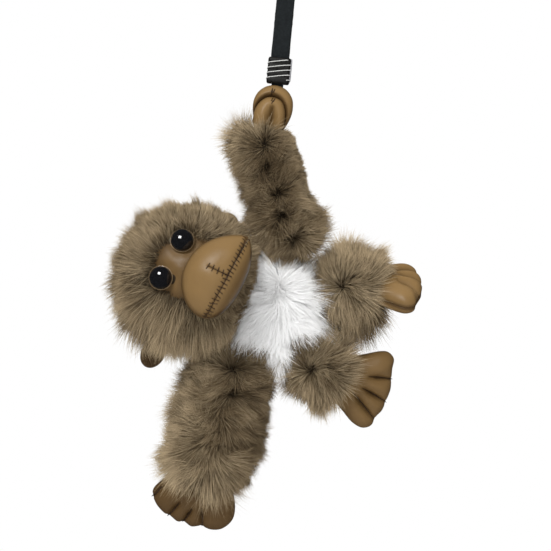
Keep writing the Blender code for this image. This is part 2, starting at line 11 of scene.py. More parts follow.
import bmesh
import bpy
import numpy as np
from bpy.props import FloatProperty, FloatVectorProperty, IntProperty, PointerProperty
from mathutils import Matrix, Vector, noise
from mathutils.bvhtree import BVHTree


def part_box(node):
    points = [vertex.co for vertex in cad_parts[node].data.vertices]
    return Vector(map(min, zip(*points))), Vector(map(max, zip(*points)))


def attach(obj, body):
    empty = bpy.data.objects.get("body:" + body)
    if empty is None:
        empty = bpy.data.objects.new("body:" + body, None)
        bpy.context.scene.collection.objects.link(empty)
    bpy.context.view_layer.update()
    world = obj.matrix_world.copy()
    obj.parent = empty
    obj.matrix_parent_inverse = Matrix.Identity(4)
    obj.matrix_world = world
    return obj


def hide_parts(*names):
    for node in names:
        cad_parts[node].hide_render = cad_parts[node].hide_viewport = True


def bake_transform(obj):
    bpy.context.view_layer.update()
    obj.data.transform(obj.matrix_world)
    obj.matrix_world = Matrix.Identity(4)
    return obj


bl_info = {
    "name": "Hanging stuffed monkey",
    "version": (1, 0, 0),
    "blender": (4, 5, 0),
    "location": "View3D > Sidebar > Monkey",
    "description": "Builds the fur, leather, eyes, stitching and strap of a stuffed monkey",
    "category": "Object",
}

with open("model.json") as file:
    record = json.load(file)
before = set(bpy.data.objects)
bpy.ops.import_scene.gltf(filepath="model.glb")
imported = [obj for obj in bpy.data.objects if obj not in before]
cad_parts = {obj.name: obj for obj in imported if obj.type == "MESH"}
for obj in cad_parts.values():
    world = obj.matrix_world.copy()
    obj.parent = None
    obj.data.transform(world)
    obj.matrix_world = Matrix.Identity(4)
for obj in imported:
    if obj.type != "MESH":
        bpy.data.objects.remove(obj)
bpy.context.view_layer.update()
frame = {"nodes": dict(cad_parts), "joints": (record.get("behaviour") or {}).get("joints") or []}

MM = 0.001
JOINTS = {joint["name"]: joint for joint in frame["joints"]}
HEAD_TURN = math.radians(6.5)
FIST_LEAN = math.atan2(3.0, 29.0)
FIST_DOWN_MM = 15.1
# The left shoulder's place in the torso's frame.
SHOULDER_MM = (44, -8, 12.7)
HEAD_RADIUS_MM = 39.0
MASK_RADIUS_MM = 35.2
EYE_APART_MM, EYE_UP_MM = 10.9, 11.2
MUZZLE_SIDE_MM = 4.5
EAR_BACK_MM, EAR_OUT_MM = 13.0, 4.0

# The swirls of the comb come from Blender's noise vectors, which start from the clock otherwise.
COMB_SEED = 9
noise.seed_set(COMB_SEED)


# Frames ---------------------------------------------------------------------------------------

def matrix_of(x, y, origin):
    """A place with these X and Y axes, in metres."""
    made = Matrix((x, y, x.cross(y))).transposed().to_4x4()
    made.translation = origin
    return made


def joint_place(joint):
    """Where a joint is, in metres."""
    return Vector(JOINTS[joint]["pos_m"])


def limb_frame(joint, flip=1):
    """A limb's frame, with its origin on the limb's joint."""
    axis = flip * Vector(JOINTS[joint]["axis"]).normalized()
    return matrix_of(axis, Vector((0, 1, 0)), joint_place(joint))


def torso_frame():
    """The torso's frame, with Z towards the neck."""
    up = Vector(JOINTS["neck_turn"]["axis"]).normalized()
    x = Vector((0, 1, 0)).cross(up)
    turn = matrix_of(x, Vector((0, 1, 0)), Vector())
    at = turn @ (Vector(SHOULDER_MM) * MM)
    return matrix_of(x, Vector((0, 1, 0)), joint_place("left_shoulder") - at)


def head_frame():
    """The head's frame: the torso's at the neck, turned to the face."""
    made = torso_frame()
    made.translation = joint_place("neck_turn")
    return made @ Matrix.Rotation(HEAD_TURN, 4, "Z")


def paw_frame(limb, down, twist=0.0):
    """A paw's frame, this many millimetres down its limb and twisted in degrees."""
    turn = Matrix.Rotation(math.radians(twist), 4, "Z")
    return limb @ Matrix.Translation((0, 0, -down * MM)) @ turn


def fist_frame():
    """The gripping hand's frame, under the strap."""
    at = Matrix.Translation(joint_place("hand_swing"))
    down = Matrix.Translation((0, 0, -FIST_DOWN_MM * MM))
    return at @ Matrix.Rotation(FIST_LEAN, 4, "Y") @ down


# Settings -------------------------------------------------------------------------------------

def length(name, text, default, low=0.0):
    return FloatProperty(name=name, description=text, default=default, min=low,
                         unit="LENGTH", subtype="DISTANCE", precision=5)


def share(name, text, default):
    return FloatProperty(name=name, description=text, default=default, min=0.0, max=1.0,
                         subtype="FACTOR")


def shade(name, text, default):
    return FloatVectorProperty(name=name, description=text, default=default, min=0.0, max=1.0,
                               size=3, subtype="COLOR")


class MonkeyFurSettings(bpy.types.PropertyGroup):
    """The pile of the plush, for the brown and the white pieces."""
    pile: length("Pile", "Length of a full-grown strand", 0.0104)
    width: length("Strand width", "Width of a strand at its root", 0.00024)
    density: FloatProperty(name="Density", description="Strands on a square metre",
                           default=9.0e6, min=0.0)
    clump: length("Tuft", "Size of the tufts that strands gather in", 0.0030)
    pull: share("Gather", "How far the tips of a tuft lean together", 0.32)
    seed: IntProperty(name="Seed", description="Sets where the strands stand", default=4)
    # Dark brown is the low end of the tips' tone: the partings are painted towards it as painted
    # shade, and random tufts reach towards it too.
    dark: shade("Dark brown", "Colour in the partings", (0.022, 0.013, 0.006))
    brown: shade("Brown", "Colour of most tips", (0.165, 0.118, 0.066))
    light: shade("Light brown", "Colour of the palest tips", (0.47, 0.365, 0.225))
    white: shade("White", "Colour of the front panel's tips", (0.97, 0.97, 0.965))


class MonkeyLeatherSettings(bpy.types.PropertyGroup):
    """The smooth brown leather of the face, hands and feet."""
    tan: shade("Tan", "The leather's main colour", (0.240, 0.146, 0.056))
    # Painted shade: the darker tan that folds, creases, seams, panel edges and undersides are
    # painted towards.
    worn: shade("Shaded tan", "The leather in folds and at edges", (0.050, 0.026, 0.009))
    grain: length("Grain", "Size of the leather's pebbles", 0.0009)
    roughness: share("Roughness", "How dull the leather is", 0.42)


class MonkeyStitchSettings(bpy.types.PropertyGroup):
    """The thread on the mouth, nose, toes and strap."""
    pitch: length("Pitch", "From one cross stitch to the next", 0.0023)
    long: length("Length", "Length of a cross stitch", 0.0042)
    thick: length("Thickness", "Thickness of the thread", 0.00042)
    thread: shade("Thread", "Colour of the brown thread", (0.045, 0.020, 0.007))


class MonkeyStrapSettings(bpy.types.PropertyGroup):
    """The strap, its sleeve and its ring."""
    width: length("Width", "Width of the webbing", 0.010)
    thick: length("Thickness", "Thickness of the webbing", 0.0013)
    wire: length("Wire", "Thickness of the ring's wire", 0.0022)
    webbing: shade("Webbing", "Colour of the webbing", (0.008, 0.0105, 0.012))


class MonkeyEyeSettings(bpy.types.PropertyGroup):
    """The domed eyes."""
    radius: length("Radius", "Radius of the dome", 0.0061)
    height: length("Height", "Height of the dome over its flange", 0.0046)
    black: shade("Black", "Colour of the dome", (0.004, 0.004, 0.005))
    rim: shade("Rim", "Colour of the thin ring at the dome's foot", (0.36, 0.25, 0.14))


class MonkeyStageSettings(bpy.types.PropertyGroup):
    """The floor, the lights and the camera."""
    floor: length("Floor depth", "How far the floor is under the ring", 0.62)
    distance: length("Distance", "From the camera to the monkey", 0.90)
    lens: FloatProperty(name="Lens", description="Focal length", default=109.0, min=1.0)
    key: FloatProperty(name="Key light", description="Power of the main light in watts",
                       default=9.0, min=0.0)
    fill: FloatProperty(name="Fill light", description="Power of the second light in watts",
                        default=4.0, min=0.0)
    top: FloatProperty(name="Top light", description="Power of the overhead light in watts",
                       default=12.0, min=0.0)
    sky: share("Surroundings", "Brightness of the studio's white walls", 0.42)


# Meshes ---------------------------------------------------------------------------------------

def link(obj):
    bpy.context.scene.collection.objects.link(obj)
    return obj


def without(*names):
    """Removes these objects, where they are there."""
    for name in names:
        found = bpy.data.objects.get(name)
        if found:
            bpy.data.objects.remove(found)


def shaped(name, points, faces, material, place=None):
    """A mesh object from points in a frame, put in place in its mesh, with smooth faces."""
    mesh = bpy.data.meshes.new(name)
    if place is not None:
        points = [place @ Vector(p) for p in points]
    mesh.from_pydata([tuple(p) for p in points], [], faces)
    mesh.validate()
    mesh.shade_smooth()
    if material:
        mesh.materials.append(material)
    return link(bpy.data.objects.new(name, mesh))


def outwards(obj):
    """Merges doubles and turns every face of a closed mesh outwards."""
    work = bmesh.new()
    work.from_mesh(obj.data)
    bmesh.ops.remove_doubles(work, verts=work.verts, dist=1e-6)
    bmesh.ops.recalc_face_normals(work, faces=work.faces)
    if work.calc_volume(signed=True) < 0:
        bmesh.ops.reverse_faces(work, faces=work.faces)
    work.to_mesh(obj.data)
    work.free()
    return obj


def rings_mesh(rows):
    """Points and faces over rings of points. A ring of one point is a pole."""
    points, starts = [], []
    for row in rows:
        starts.append(len(points))
        points += [tuple(p) for p in row]
    faces = []
    for k in range(len(rows) - 1):
        a, b, m, n = starts[k], starts[k + 1], len(rows[k]), len(rows[k + 1])
        for i in range(max(m, n)):
            ring = [a + i % m, a + (i + 1) % m, b + (i + 1) % n, b + i % n]
            faces.append(list(dict.fromkeys(ring)))
    return points, faces


def smooth_path(points, steps):
    """A smooth line through the points, with this many steps between neighbours."""
    p = [2 * Vector(points[0]) - Vector(points[1])] + [Vector(q) for q in points]
    p.append(2 * p[-1] - p[-2])
    made = []
    for i in range(1, len(p) - 2):
        for k in range(steps):
            t = k / steps
            a, b, c, d = p[i - 1:i + 3]
            made.append(0.5 * (2 * b + (c - a) * t + (2 * a - 5 * b + 4 * c - d) * t * t
                               + (3 * b - a - 3 * c + d) * t ** 3))
    return made + [p[-2]]


def loop_path(points, steps):
    """A smooth closed line through the points."""
    count = len(points)
    around = [points[(i - 2) % count] for i in range(count + 5)]
    return smooth_path(around, steps)[2 * steps:(2 + count) * steps]


def even_loop(points, count):
    """The same closed path with evenly spaced points."""
    steps = [(b - a).length for a, b in zip(points, points[1:] + points[:1])]
    whole, made, k, run = sum(steps), [], 0, 0.0
    for i in range(count):
        goal = whole * i / count
        while run + steps[k] < goal:
            run += steps[k]
            k += 1
        t = (goal - run) / max(steps[k], 1e-9)
        made.append(points[k].lerp(points[(k + 1) % len(points)], t))
    return made


def tube_rows(path, radii, sides, closed=False):
    """Rings for a tube along a path, with one radius or one for each point."""
    rows, across = [], None
    count = len(path)
    for i, at in enumerate(path):
        near = path[(i + 1) % count] if closed else path[min(i + 1, count - 1)]
        ahead = (near - path[i - 1 if closed or i else 0]).normalized()
        across = ahead.orthogonal() if across is None else across - ahead * across.dot(ahead)
        across.normalize()
        other = ahead.cross(across)
        radius = radii[i] if hasattr(radii, "__len__") else radii
        turn = [2 * math.pi * k / sides for k in range(sides)]
        rows.append([at + radius * (math.cos(a) * across + math.sin(a) * other) for a in turn])
    if closed:
        return rows + [rows[0]]
    return [[path[0]]] + rows + [[path[-1]]]


def joined(parts):
    """Points and faces of several (points, faces) as one."""
    points, faces = [], []
    for p, f in parts:
        base = len(points)
        points += list(p)
        faces += [[base + i for i in face] for face in f]
    return points, faces


def applied(obj):
    """Makes the evaluated mesh the object's own and removes its modifiers."""
    graph = bpy.context.evaluated_depsgraph_get()
    mesh = bpy.data.meshes.new_from_object(obj.evaluated_get(graph))
    obj.modifiers.clear()
    old, obj.data = obj.data, mesh
    mesh.name = obj.name
    bpy.data.meshes.remove(old)
    return obj


def coordinates(mesh):
    flat = np.empty(3 * len(mesh.vertices), np.float32)
    mesh.vertices.foreach_get("co", flat)
    return flat.reshape(-1, 3).astype(float)


def normals(mesh):
    flat = np.empty(3 * len(mesh.vertices), np.float32)
    mesh.vertex_normals.foreach_get("vector", flat)
    return flat.reshape(-1, 3).astype(float)


def attribute(mesh, name, values, kind="FLOAT"):
    """Stores a value on each point."""
    made = mesh.attributes.new(name, kind, "POINT")
    field = "value" if kind == "FLOAT" else "vector"
    made.data.foreach_set(field, np.ascontiguousarray(values, np.float32).ravel())


def smoothstep(low, high, value):
    t = np.clip((value - low) / (high - low), 0, 1)
    return t * t * (3 - 2 * t)


def node_tree_of(nodes):
    """A search tree over the faces of CAD nodes."""
    points, faces = [], []
    for name in nodes:
        mesh = frame["nodes"][name].data
        base = len(points)
        points += [v.co.copy() for v in mesh.vertices]
        faces += [[base + i for i in p.vertices] for p in mesh.polygons]
    return BVHTree.FromPolygons(points, faces)


def distances(points, tree):
    """How far each point is from the faces of a search tree."""
    return np.array([tree.find_nearest(Vector(p))[3] for p in points])


def finished(obj, body, slot, *nodes):
    """Hangs a finished piece on its body's empty and hides the CAD nodes that it stands for."""
    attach(obj, body)
    if nodes:
        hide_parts(*nodes)
    return obj


# Node trees -----------------------------------------------------------------------------------

def add(tree, kind, inputs=None, **settings):
    made = tree.nodes.new(kind)
    for key, value in settings.items():
        setattr(made, key, value)
    for key, value in (inputs or {}).items():
        if isinstance(value, bpy.types.NodeSocket):
            tree.links.new(value, made.inputs[key])
        else:
            made.inputs[key].default_value = value
    return made


def vec(tree, operation, a, b=None, scale=None):
    inputs = {0: a}
    if b is not None:
        inputs[1] = b
    if scale is not None:
        inputs["Scale"] = scale
    return add(tree, "ShaderNodeVectorMath", inputs, operation=operation).outputs[0]


def num(tree, operation, a, b=None, clamp=False):
    inputs = {0: a}
    if b is not None:
        inputs[1] = b
    return add(tree, "ShaderNodeMath", inputs, operation=operation, use_clamp=clamp).outputs[0]


def read(tree, name, kind="FLOAT"):
    return add(tree, "GeometryNodeInputNamedAttribute", {"Name": name}, data_type=kind).outputs[0]


def store(tree, geometry, name, value, kind="FLOAT", domain="POINT"):
    return add(tree, "GeometryNodeStoreNamedAttribute",
               {"Geometry": geometry, "Name": name, "Value": value},
               data_type=kind, domain=domain).outputs[0]


def tree_with(name, inputs):
    """A new geometry tree with these inputs, its input sockets and its output node."""
    tree = bpy.data.node_groups.new(name, "GeometryNodeTree")
    tree.interface.new_socket("Geometry", in_out="INPUT", socket_type="NodeSocketGeometry")
    tree.interface.new_socket("Geometry", in_out="OUTPUT", socket_type="NodeSocketGeometry")
    for label, kind, value in inputs:
        socket = tree.interface.new_socket(label, in_out="INPUT", socket_type="NodeSocket" + kind)
        if value is not None:
            socket.default_value = value
    return tree, tree.nodes.new("NodeGroupInput").outputs, tree.nodes.new("NodeGroupOutput")


def grown_from(obj, tree, values):
    """Runs a tree on the object with named inputs, and keeps the result as its mesh."""
    modifier = obj.modifiers.new("Nodes", "NODES")
    modifier.node_group = tree
    for item in tree.interface.items_tree:
        if item.item_type == "SOCKET" and item.in_out == "INPUT" and item.name in values:
            modifier[item.identifier] = values[item.name]
    return applied(obj)


def strand_blade():
    """One flat strand of five faces: side runs across it and along runs from root to tip."""
    rows = [0.0, 0.34, 0.68]
    points = [(side, 0, t) for t in rows for side in (-1, 1)] + [(0, 0, 1)]
    faces = [(0, 1, 3, 2), (2, 3, 5, 4), (4, 5, 6)]
    blade = shaped("strand_blade", points, faces, None)
    attribute(blade.data, "along", [p[2] for p in points])
    attribute(blade.data, "side", [p[0] for p in points])
    return blade


def fur_tree():
    """Strands on a skin, combed and gathered in tufts. The skin carries comb (a direction whose
    length is how flat the strands lie), pile (a share of the full length), cover and tone."""
    tree, given, result = tree_with("fur", [
        ("Strand", "Object", None), ("Density", "Float", 6e6), ("Pile", "Float", 0.012),
        ("Width", "Float", 0.0003), ("Lift", "Float", 0.80), ("Tuft", "Float", 0.004),
        ("Gather", "Float", 0.5), ("Stray", "Float", 0.30), ("Spread", "Float", 0.55),
        ("Seed", "Int", 4), ("Material", "Material", None)])
    skin = given["Geometry"]
    cover = num(tree, "MULTIPLY", given["Density"], read(tree, "cover"))
    spread = add(tree, "GeometryNodeDistributePointsOnFaces",
                 {"Mesh": skin, "Density": cover, "Seed": given["Seed"]})
    dice = add(tree, "FunctionNodeRandomValue", {"Seed": given["Seed"]}, data_type="FLOAT")
    lean = add(tree, "FunctionNodeRandomValue", {0: (-1, -1, -1), 1: (1, 1, 1), "Seed": 77},
               data_type="FLOAT_VECTOR")
    points = store(tree, spread.outputs["Points"], "root",
                   add(tree, "GeometryNodeInputPosition").outputs[0], "FLOAT_VECTOR")
    points = store(tree, points, "rise", spread.outputs["Normal"], "FLOAT_VECTOR")
    points = store(tree, points, "dice", dice.outputs[1])
    points = store(tree, points, "lean", lean.outputs[0], "FLOAT_VECTOR")
    blade = add(tree, "GeometryNodeObjectInfo", {"Object": given["Strand"]})
    strands = add(tree, "GeometryNodeInstanceOnPoints",
                  {"Points": points, "Instance": blade.outputs["Geometry"]})
    strands = add(tree, "GeometryNodeRealizeInstances", {0: strands.outputs[0]}).outputs[0]

    root, rise, comb = (read(tree, n, "FLOAT_VECTOR") for n in ("root", "rise", "comb"))
    lean, dice, t = read(tree, "lean", "FLOAT_VECTOR"), read(tree, "dice"), read(tree, "along")
    side, tone = read(tree, "side"), read(tree, "tone")
    t2 = num(tree, "MULTIPLY", t, t)
    flat = add(tree, "ShaderNodeVectorMath", {0: comb}, operation="LENGTH").outputs["Value"]
    uneven = num(tree, "MULTIPLY_ADD", dice, 0.45)
    uneven.node.inputs[2].default_value = 0.72
    long = num(tree, "MULTIPLY", num(tree, "MULTIPLY", given["Pile"], read(tree, "pile")), uneven)
    # Where the comb is short the strands stand up, and elsewhere they rise and then lie down.
    stand = num(tree, "SUBTRACT", 1.0, num(tree, "MULTIPLY", flat, num(tree, "SUBTRACT", 1.0,
                                                                      given["Lift"])))
    up = num(tree, "MULTIPLY", stand, num(tree, "SUBTRACT", num(tree, "MULTIPLY", t, 1.35),
                                          num(tree, "MULTIPLY", t2, 0.5)))
    over = num(tree, "ADD", num(tree, "MULTIPLY", t, 0.45), num(tree, "MULTIPLY", t2, 0.5))
    way = vec(tree, "ADD", vec(tree, "SCALE", rise, scale=up), vec(tree, "SCALE", comb, scale=over))
    astray = vec(tree, "SCALE", lean, scale=num(tree, "MULTIPLY", given["Stray"], t))
    scaled = vec(tree, "SCALE", root, scale=num(tree, "DIVIDE", 1.0, given["Tuft"]))
    tuft = add(tree, "ShaderNodeTexVoronoi", {"Vector": scaled, "Scale": 1.0})
    cell = vec(tree, "SCALE", tuft.outputs["Position"], scale=given["Tuft"])
    pull = vec(tree, "SCALE", vec(tree, "SUBTRACT", cell, root),
               scale=num(tree, "MULTIPLY", given["Gather"], t2))
    turned = vec(tree, "SUBTRACT", tuft.outputs["Color"], (0.5, 0.5, 0.5))
    turned = vec(tree, "SCALE", turned, scale=num(tree, "MULTIPLY", t, 0.5))
    big = add(tree, "ShaderNodeTexNoise", {"Vector": root, "Scale": 80.0, "Detail": 2.0})
    swirl = vec(tree, "SUBTRACT", big.outputs["Color"], (0.5, 0.5, 0.5))
    swirl = vec(tree, "SCALE", swirl, scale=num(tree, "MULTIPLY", t, 1.5))
    way = vec(tree, "ADD", vec(tree, "ADD", way, astray), vec(tree, "ADD", turned, swirl))
    place = vec(tree, "ADD", vec(tree, "ADD", root, vec(tree, "SCALE", way, scale=long)), pull)
    across = vec(tree, "CROSS_PRODUCT", vec(tree, "ADD", comb, vec(tree, "SCALE", lean, scale=0.4)),
                 rise)
    across = vec(tree, "NORMALIZE", vec(tree, "ADD", vec(tree, "NORMALIZE", across),
                                        vec(tree, "SCALE", lean, scale=0.5)))
    taper = num(tree, "SUBTRACT", 1.0, num(tree, "MULTIPLY", t, 0.62))
    half = num(tree, "MULTIPLY", num(tree, "MULTIPLY", given["Width"], 0.5),
               num(tree, "MULTIPLY", side, taper))
    place = vec(tree, "ADD", place, vec(tree, "SCALE", across, scale=half))
    strands = add(tree, "GeometryNodeSetPosition", {"Geometry": strands, "Position": place})

    patch = num(tree, "MULTIPLY", num(tree, "SUBTRACT", big.outputs[0], 0.5), 0.5)
    bunch = num(tree, "MULTIPLY", num(tree, "SUBTRACT", tuft.outputs["Color"], 0.5), 0.30)
    grain = num(tree, "MULTIPLY", num(tree, "SUBTRACT", dice, 0.5), given["Spread"])
    tone = num(tree, "ADD", num(tree, "ADD", tone, patch), num(tree, "ADD", bunch, grain))
    tone = num(tree, "MINIMUM", num(tree, "MAXIMUM", tone, 0.04), 0.96)
    tone = num(tree, "ADD", tone, num(tree, "MULTIPLY", side, 0.002))
    where = add(tree, "ShaderNodeCombineXYZ", {0: tone, 1: num(tree, "MULTIPLY", t, 0.98)})
    strands = store(tree, strands.outputs[0], "OFBake", where.outputs[0], "FLOAT2", "CORNER")
    both = add(tree, "GeometryNodeJoinGeometry")
    tree.links.new(skin, both.inputs[0])
    tree.links.new(strands, both.inputs[0])
    whole = add(tree, "GeometryNodeRealizeInstances", {0: both.outputs[0]}).outputs[0]
    smooth = add(tree, "GeometryNodeSetShadeSmooth", {0: whole}).outputs[0]
    coloured = add(tree, "GeometryNodeSetMaterial",
                   {"Geometry": smooth, "Material": given["Material"]}).outputs[0]
    tree.links.new(coloured, result.inputs[0])
    return tree


def stitch_tree():
    """Cross stitches set out evenly along a line whose points carry up, the surface's normal."""
    tree, given, result = tree_with("stitches", [
        ("Stitch", "Object", None), ("Pitch", "Float", 0.0022), ("Uneven", "Float", 0.25),
        ("Seed", "Int", 3), ("Material", "Material", None)])
    line = add(tree, "GeometryNodeMeshToCurve", {0: given["Geometry"]}).outputs[0]
    line = add(tree, "GeometryNodeResampleCurve", {"Curve": line, "Length": given["Pitch"]},
               mode="LENGTH").outputs[0]
    along = add(tree, "GeometryNodeInputTangent").outputs[0]
    line = store(tree, line, "run", along, "FLOAT_VECTOR")
    points = add(tree, "GeometryNodeCurveToPoints", {0: line}, mode="EVALUATED").outputs[0]
    wild = add(tree, "FunctionNodeRandomValue", {0: (-1, -1, -1), 1: (1, 1, 1),
                                                 "Seed": given["Seed"]}, data_type="FLOAT_VECTOR")
    run = vec(tree, "ADD", read(tree, "run", "FLOAT_VECTOR"),
              vec(tree, "SCALE", wild.outputs[0], scale=given["Uneven"]))
    turn = add(tree, "FunctionNodeAxesToRotation",
               {"Primary Axis": read(tree, "up", "FLOAT_VECTOR"), "Secondary Axis": run},
               primary_axis="Z", secondary_axis="X")
    made = add(tree, "GeometryNodeObjectInfo", {"Object": given["Stitch"]})
    made = add(tree, "GeometryNodeInstanceOnPoints",
               {"Points": points, "Instance": made.outputs["Geometry"],
                "Rotation": turn.outputs[0]})
    made = add(tree, "GeometryNodeRealizeInstances", {0: made.outputs[0]}).outputs[0]
    made = add(tree, "GeometryNodeSetMaterial",
               {"Geometry": made, "Material": given["Material"]}).outputs[0]
    tree.links.new(made, result.inputs[0])
    return tree


def shared_tree(make, name):
    return bpy.data.node_groups.get(name) or make()


# Materials ------------------------------------------------------------------------------------

def ramp(tree, value, stops, smooth=False):
    made = add(tree, "ShaderNodeValToRGB", {0: value})
    made.color_ramp.interpolation = "EASE" if smooth else "LINEAR"
    entries = made.color_ramp.elements
    while len(entries) < len(stops):
        entries.new(0.5)
    for entry, (at, colour) in zip(entries, stops):
        entry.position = at
        colour = (colour,) * 3 if isinstance(colour, (int, float)) else tuple(colour)
        entry.color = (*colour, 1.0)
    return made.outputs[0]


def mixed(tree, factor, a, b, blend="MIX"):
    return add(tree, "ShaderNodeMix", {0: factor, 6: a, 7: b}, data_type="RGBA",
               blend_type=blend).outputs[2]


def new_finish(name, **constants):
    """A material with one Principled shader, and that shader's fixed values."""
    made = bpy.data.materials.new(name)
    made.use_nodes = True
    shader = made.node_tree.nodes["Principled BSDF"]
    for key, value in constants.items():
        label = key.replace("_", " ").title().replace("Ior", "IOR")
        shader.inputs[label].default_value = value
    return made, made.node_tree, shader


def bumped(tree, shader, height, strength, distance):
    bump = add(tree, "ShaderNodeBump", {"Height": height, "Strength": strength,
                                        "Distance": distance})
    tree.links.new(bump.outputs[0], shader.inputs["Normal"])


def noise_of(tree, scale, detail=3.0, where=None, roughness=0.5):
    where = where or add(tree, "ShaderNodeTexCoord").outputs["Object"]
    return add(tree, "ShaderNodeTexNoise", {"Vector": where, "Scale": scale, "Detail": detail,
                                            "Roughness": roughness}).outputs[0]


def finish(name):
    """The detailed material for a slot, made the first time that it is asked for."""
    made = bpy.data.materials.get(f"{name}_finish")
    return made or FINISHES[name](f"{name}_finish")


def fur_finish(name, stops, root, rough):
    made, tree, shader = new_finish(name, roughness=rough, specular_ior_level=0.08)
    split = add(tree, "ShaderNodeSeparateXYZ",
                {0: add(tree, "ShaderNodeUVMap", uv_map="OFBake").outputs[0]})
    tips = ramp(tree, split.outputs[0], stops)
    deep = ramp(tree, split.outputs[1], root, smooth=True)
    tree.links.new(mixed(tree, 1.0, tips, deep, "MULTIPLY"), shader.inputs["Base Color"])
    return made


def blended(a, b, t):
    return tuple(x + (y - x) * t for x, y in zip(a, b))


def brown_fur(name):
    s = bpy.context.scene.monkey_fur
    stops = [(0.0, s.dark), (0.5, s.brown), (0.72, blended(s.brown, s.light, 0.5)), (1.0, s.light)]
    return fur_finish(name, stops, [(0.0, 0.26), (0.35, 0.52), (0.8, 1.0)], 0.55)


def white_fur(name):
    s = bpy.context.scene.monkey_fur
    stops = [(0.0, blended((0.3, 0.3, 0.29), s.white, 0.9)), (0.5, s.white)]
    return fur_finish(name, stops, [(0.0, 0.95), (0.4, 1.0)], 0.5)


def tan_leather(name):
    s = bpy.context.scene.monkey_leather
    made, tree, shader = new_finish(name, specular_ior_level=0.22)
    mottle = noise_of(tree, 90.0, 4.0)
    cloud = noise_of(tree, 28.0, 2.0)
    # Random clouds of slightly darker leather, the leather's own uneven tone.
    tint = ramp(tree, cloud, [(0.3, blended(s.tan, s.worn, 0.16)), (0.7, s.tan)])
    tint = mixed(tree, 0.5, tint, ramp(tree, mottle, [(0.3, 0.86), (0.7, 1.0)]), "MULTIPLY")
    # Each point's mark paints shade: the leather is darkened towards the shaded tan in folds,
    # seams, at edges and underneath.
    worn = add(tree, "ShaderNodeAttribute", attribute_name="worn").outputs["Fac"]
    tint = mixed(tree, worn, tint, (*s.worn, 1.0))
    tree.links.new(tint, shader.inputs["Base Color"])
    pores = add(tree, "ShaderNodeTexVoronoi",
                {"Vector": add(tree, "ShaderNodeTexCoord").outputs["Object"],
                 "Scale": 1 / s.grain}, feature="SMOOTH_F1").outputs[0]
    creases = noise_of(tree, 260.0, 5.0, roughness=0.62)
    height = num(tree, "ADD", num(tree, "MULTIPLY", pores, 0.45), creases)
    rough = num(tree, "MULTIPLY_ADD", creases, 0.22)
    rough.node.inputs[2].default_value = s.roughness - 0.11
    tree.links.new(rough, shader.inputs["Roughness"])
    bumped(tree, shader, height, 0.35, 0.00025)
    return made


def thread_finish(name, colour, sheen=0.25):
    made, tree, shader = new_finish(name, roughness=0.62, sheen_weight=sheen)
    fibre = noise_of(tree, 2600.0, 3.0)
    tint = mixed(tree, fibre, (*blended(colour, (0, 0, 0), 0.35), 1), (*colour, 1))
    tree.links.new(tint, shader.inputs["Base Color"])
    bumped(tree, shader, fibre, 0.5, 0.0001)
    return made


def brown_thread(name):
    return thread_finish(name, bpy.context.scene.monkey_stitch.thread, 0.0)


def white_thread(name):
    return thread_finish(name, (0.72, 0.72, 0.70))


def black_webbing(name):
    s = bpy.context.scene.monkey_strap
    made, tree, shader = new_finish(name, roughness=0.85, specular_ior_level=0.18)
    where = add(tree, "ShaderNodeUVMap", uv_map="Weave").outputs[0]
    weave = add(tree, "ShaderNodeTexBrick",
                {"Vector": where, "Color1": (1, 1, 1, 1), "Color2": (0.8, 0.8, 0.8, 1),
                 "Mortar": (0, 0, 0, 1), "Scale": 1.0, "Mortar Size": 0.00009,
                 "Mortar Smooth": 1.0, "Brick Width": 0.0011, "Row Height": 0.00055}).outputs[0]
    fuzz = noise_of(tree, 900.0, 4.0)
    tint = mixed(tree, fuzz, (*blended(s.webbing, (0, 0, 0), 0.4), 1),
                 (*blended(s.webbing, (0.06, 0.07, 0.075), 0.3), 1))
    tint = mixed(tree, 0.6, tint, weave, "MULTIPLY")
    tree.links.new(tint, shader.inputs["Base Color"])
    bumped(tree, shader, num(tree, "ADD", weave, num(tree, "MULTIPLY", fuzz, 0.5)), 0.9, 0.0002)
    return made


def black_leather(name):
    made, tree, shader = new_finish(name, specular_ior_level=0.25)
    grain = noise_of(tree, 700.0, 5.0, roughness=0.6)
    tint = ramp(tree, grain, [(0.3, (0.003, 0.003, 0.003)), (0.75, (0.013, 0.0125, 0.011))])
    tree.links.new(tint, shader.inputs["Base Color"])
    rough = num(tree, "MULTIPLY_ADD", grain, 0.3)
    rough.node.inputs[2].default_value = 0.38
    tree.links.new(rough, shader.inputs["Roughness"])
    bumped(tree, shader, grain, 0.6, 0.0003)
    return made


def grey_edge(name):
    made, tree, shader = new_finish(name, roughness=0.5)
    grain = noise_of(tree, 500.0, 3.0)
    tint = ramp(tree, grain, [(0.3, (0.20, 0.20, 0.21)), (0.7, (0.36, 0.36, 0.38))])
    tree.links.new(tint, shader.inputs["Base Color"])
    bumped(tree, shader, grain, 0.4, 0.0001)
    return made


def steel(name):
    made, tree, shader = new_finish(name, metallic=1.0)
    scuff = noise_of(tree, 320.0, 6.0, roughness=0.7)
    tint = ramp(tree, scuff, [(0.3, (0.50, 0.50, 0.51)), (0.7, (0.68, 0.68, 0.69))])
    tree.links.new(tint, shader.inputs["Base Color"])
    tree.links.new(ramp(tree, scuff, [(0.3, 0.16), (0.8, 0.34)]), shader.inputs["Roughness"])
    bumped(tree, shader, scuff, 0.12, 0.0001)
    return made


def black_gloss(name):
    s = bpy.context.scene.monkey_eye
    made, tree, shader = new_finish(name, specular_ior_level=0.6, coat_weight=1.0,
                                    coat_roughness=0.02)
    dust = noise_of(tree, 500.0, 4.0)
    tint = ramp(tree, dust, [(0.4, s.black), (0.9, blended(s.black, (0.01, 0.01, 0.012), 0.5))])
    tree.links.new(tint, shader.inputs["Base Color"])
    tree.links.new(ramp(tree, dust, [(0.4, 0.05), (0.9, 0.12)]), shader.inputs["Roughness"])
    return made


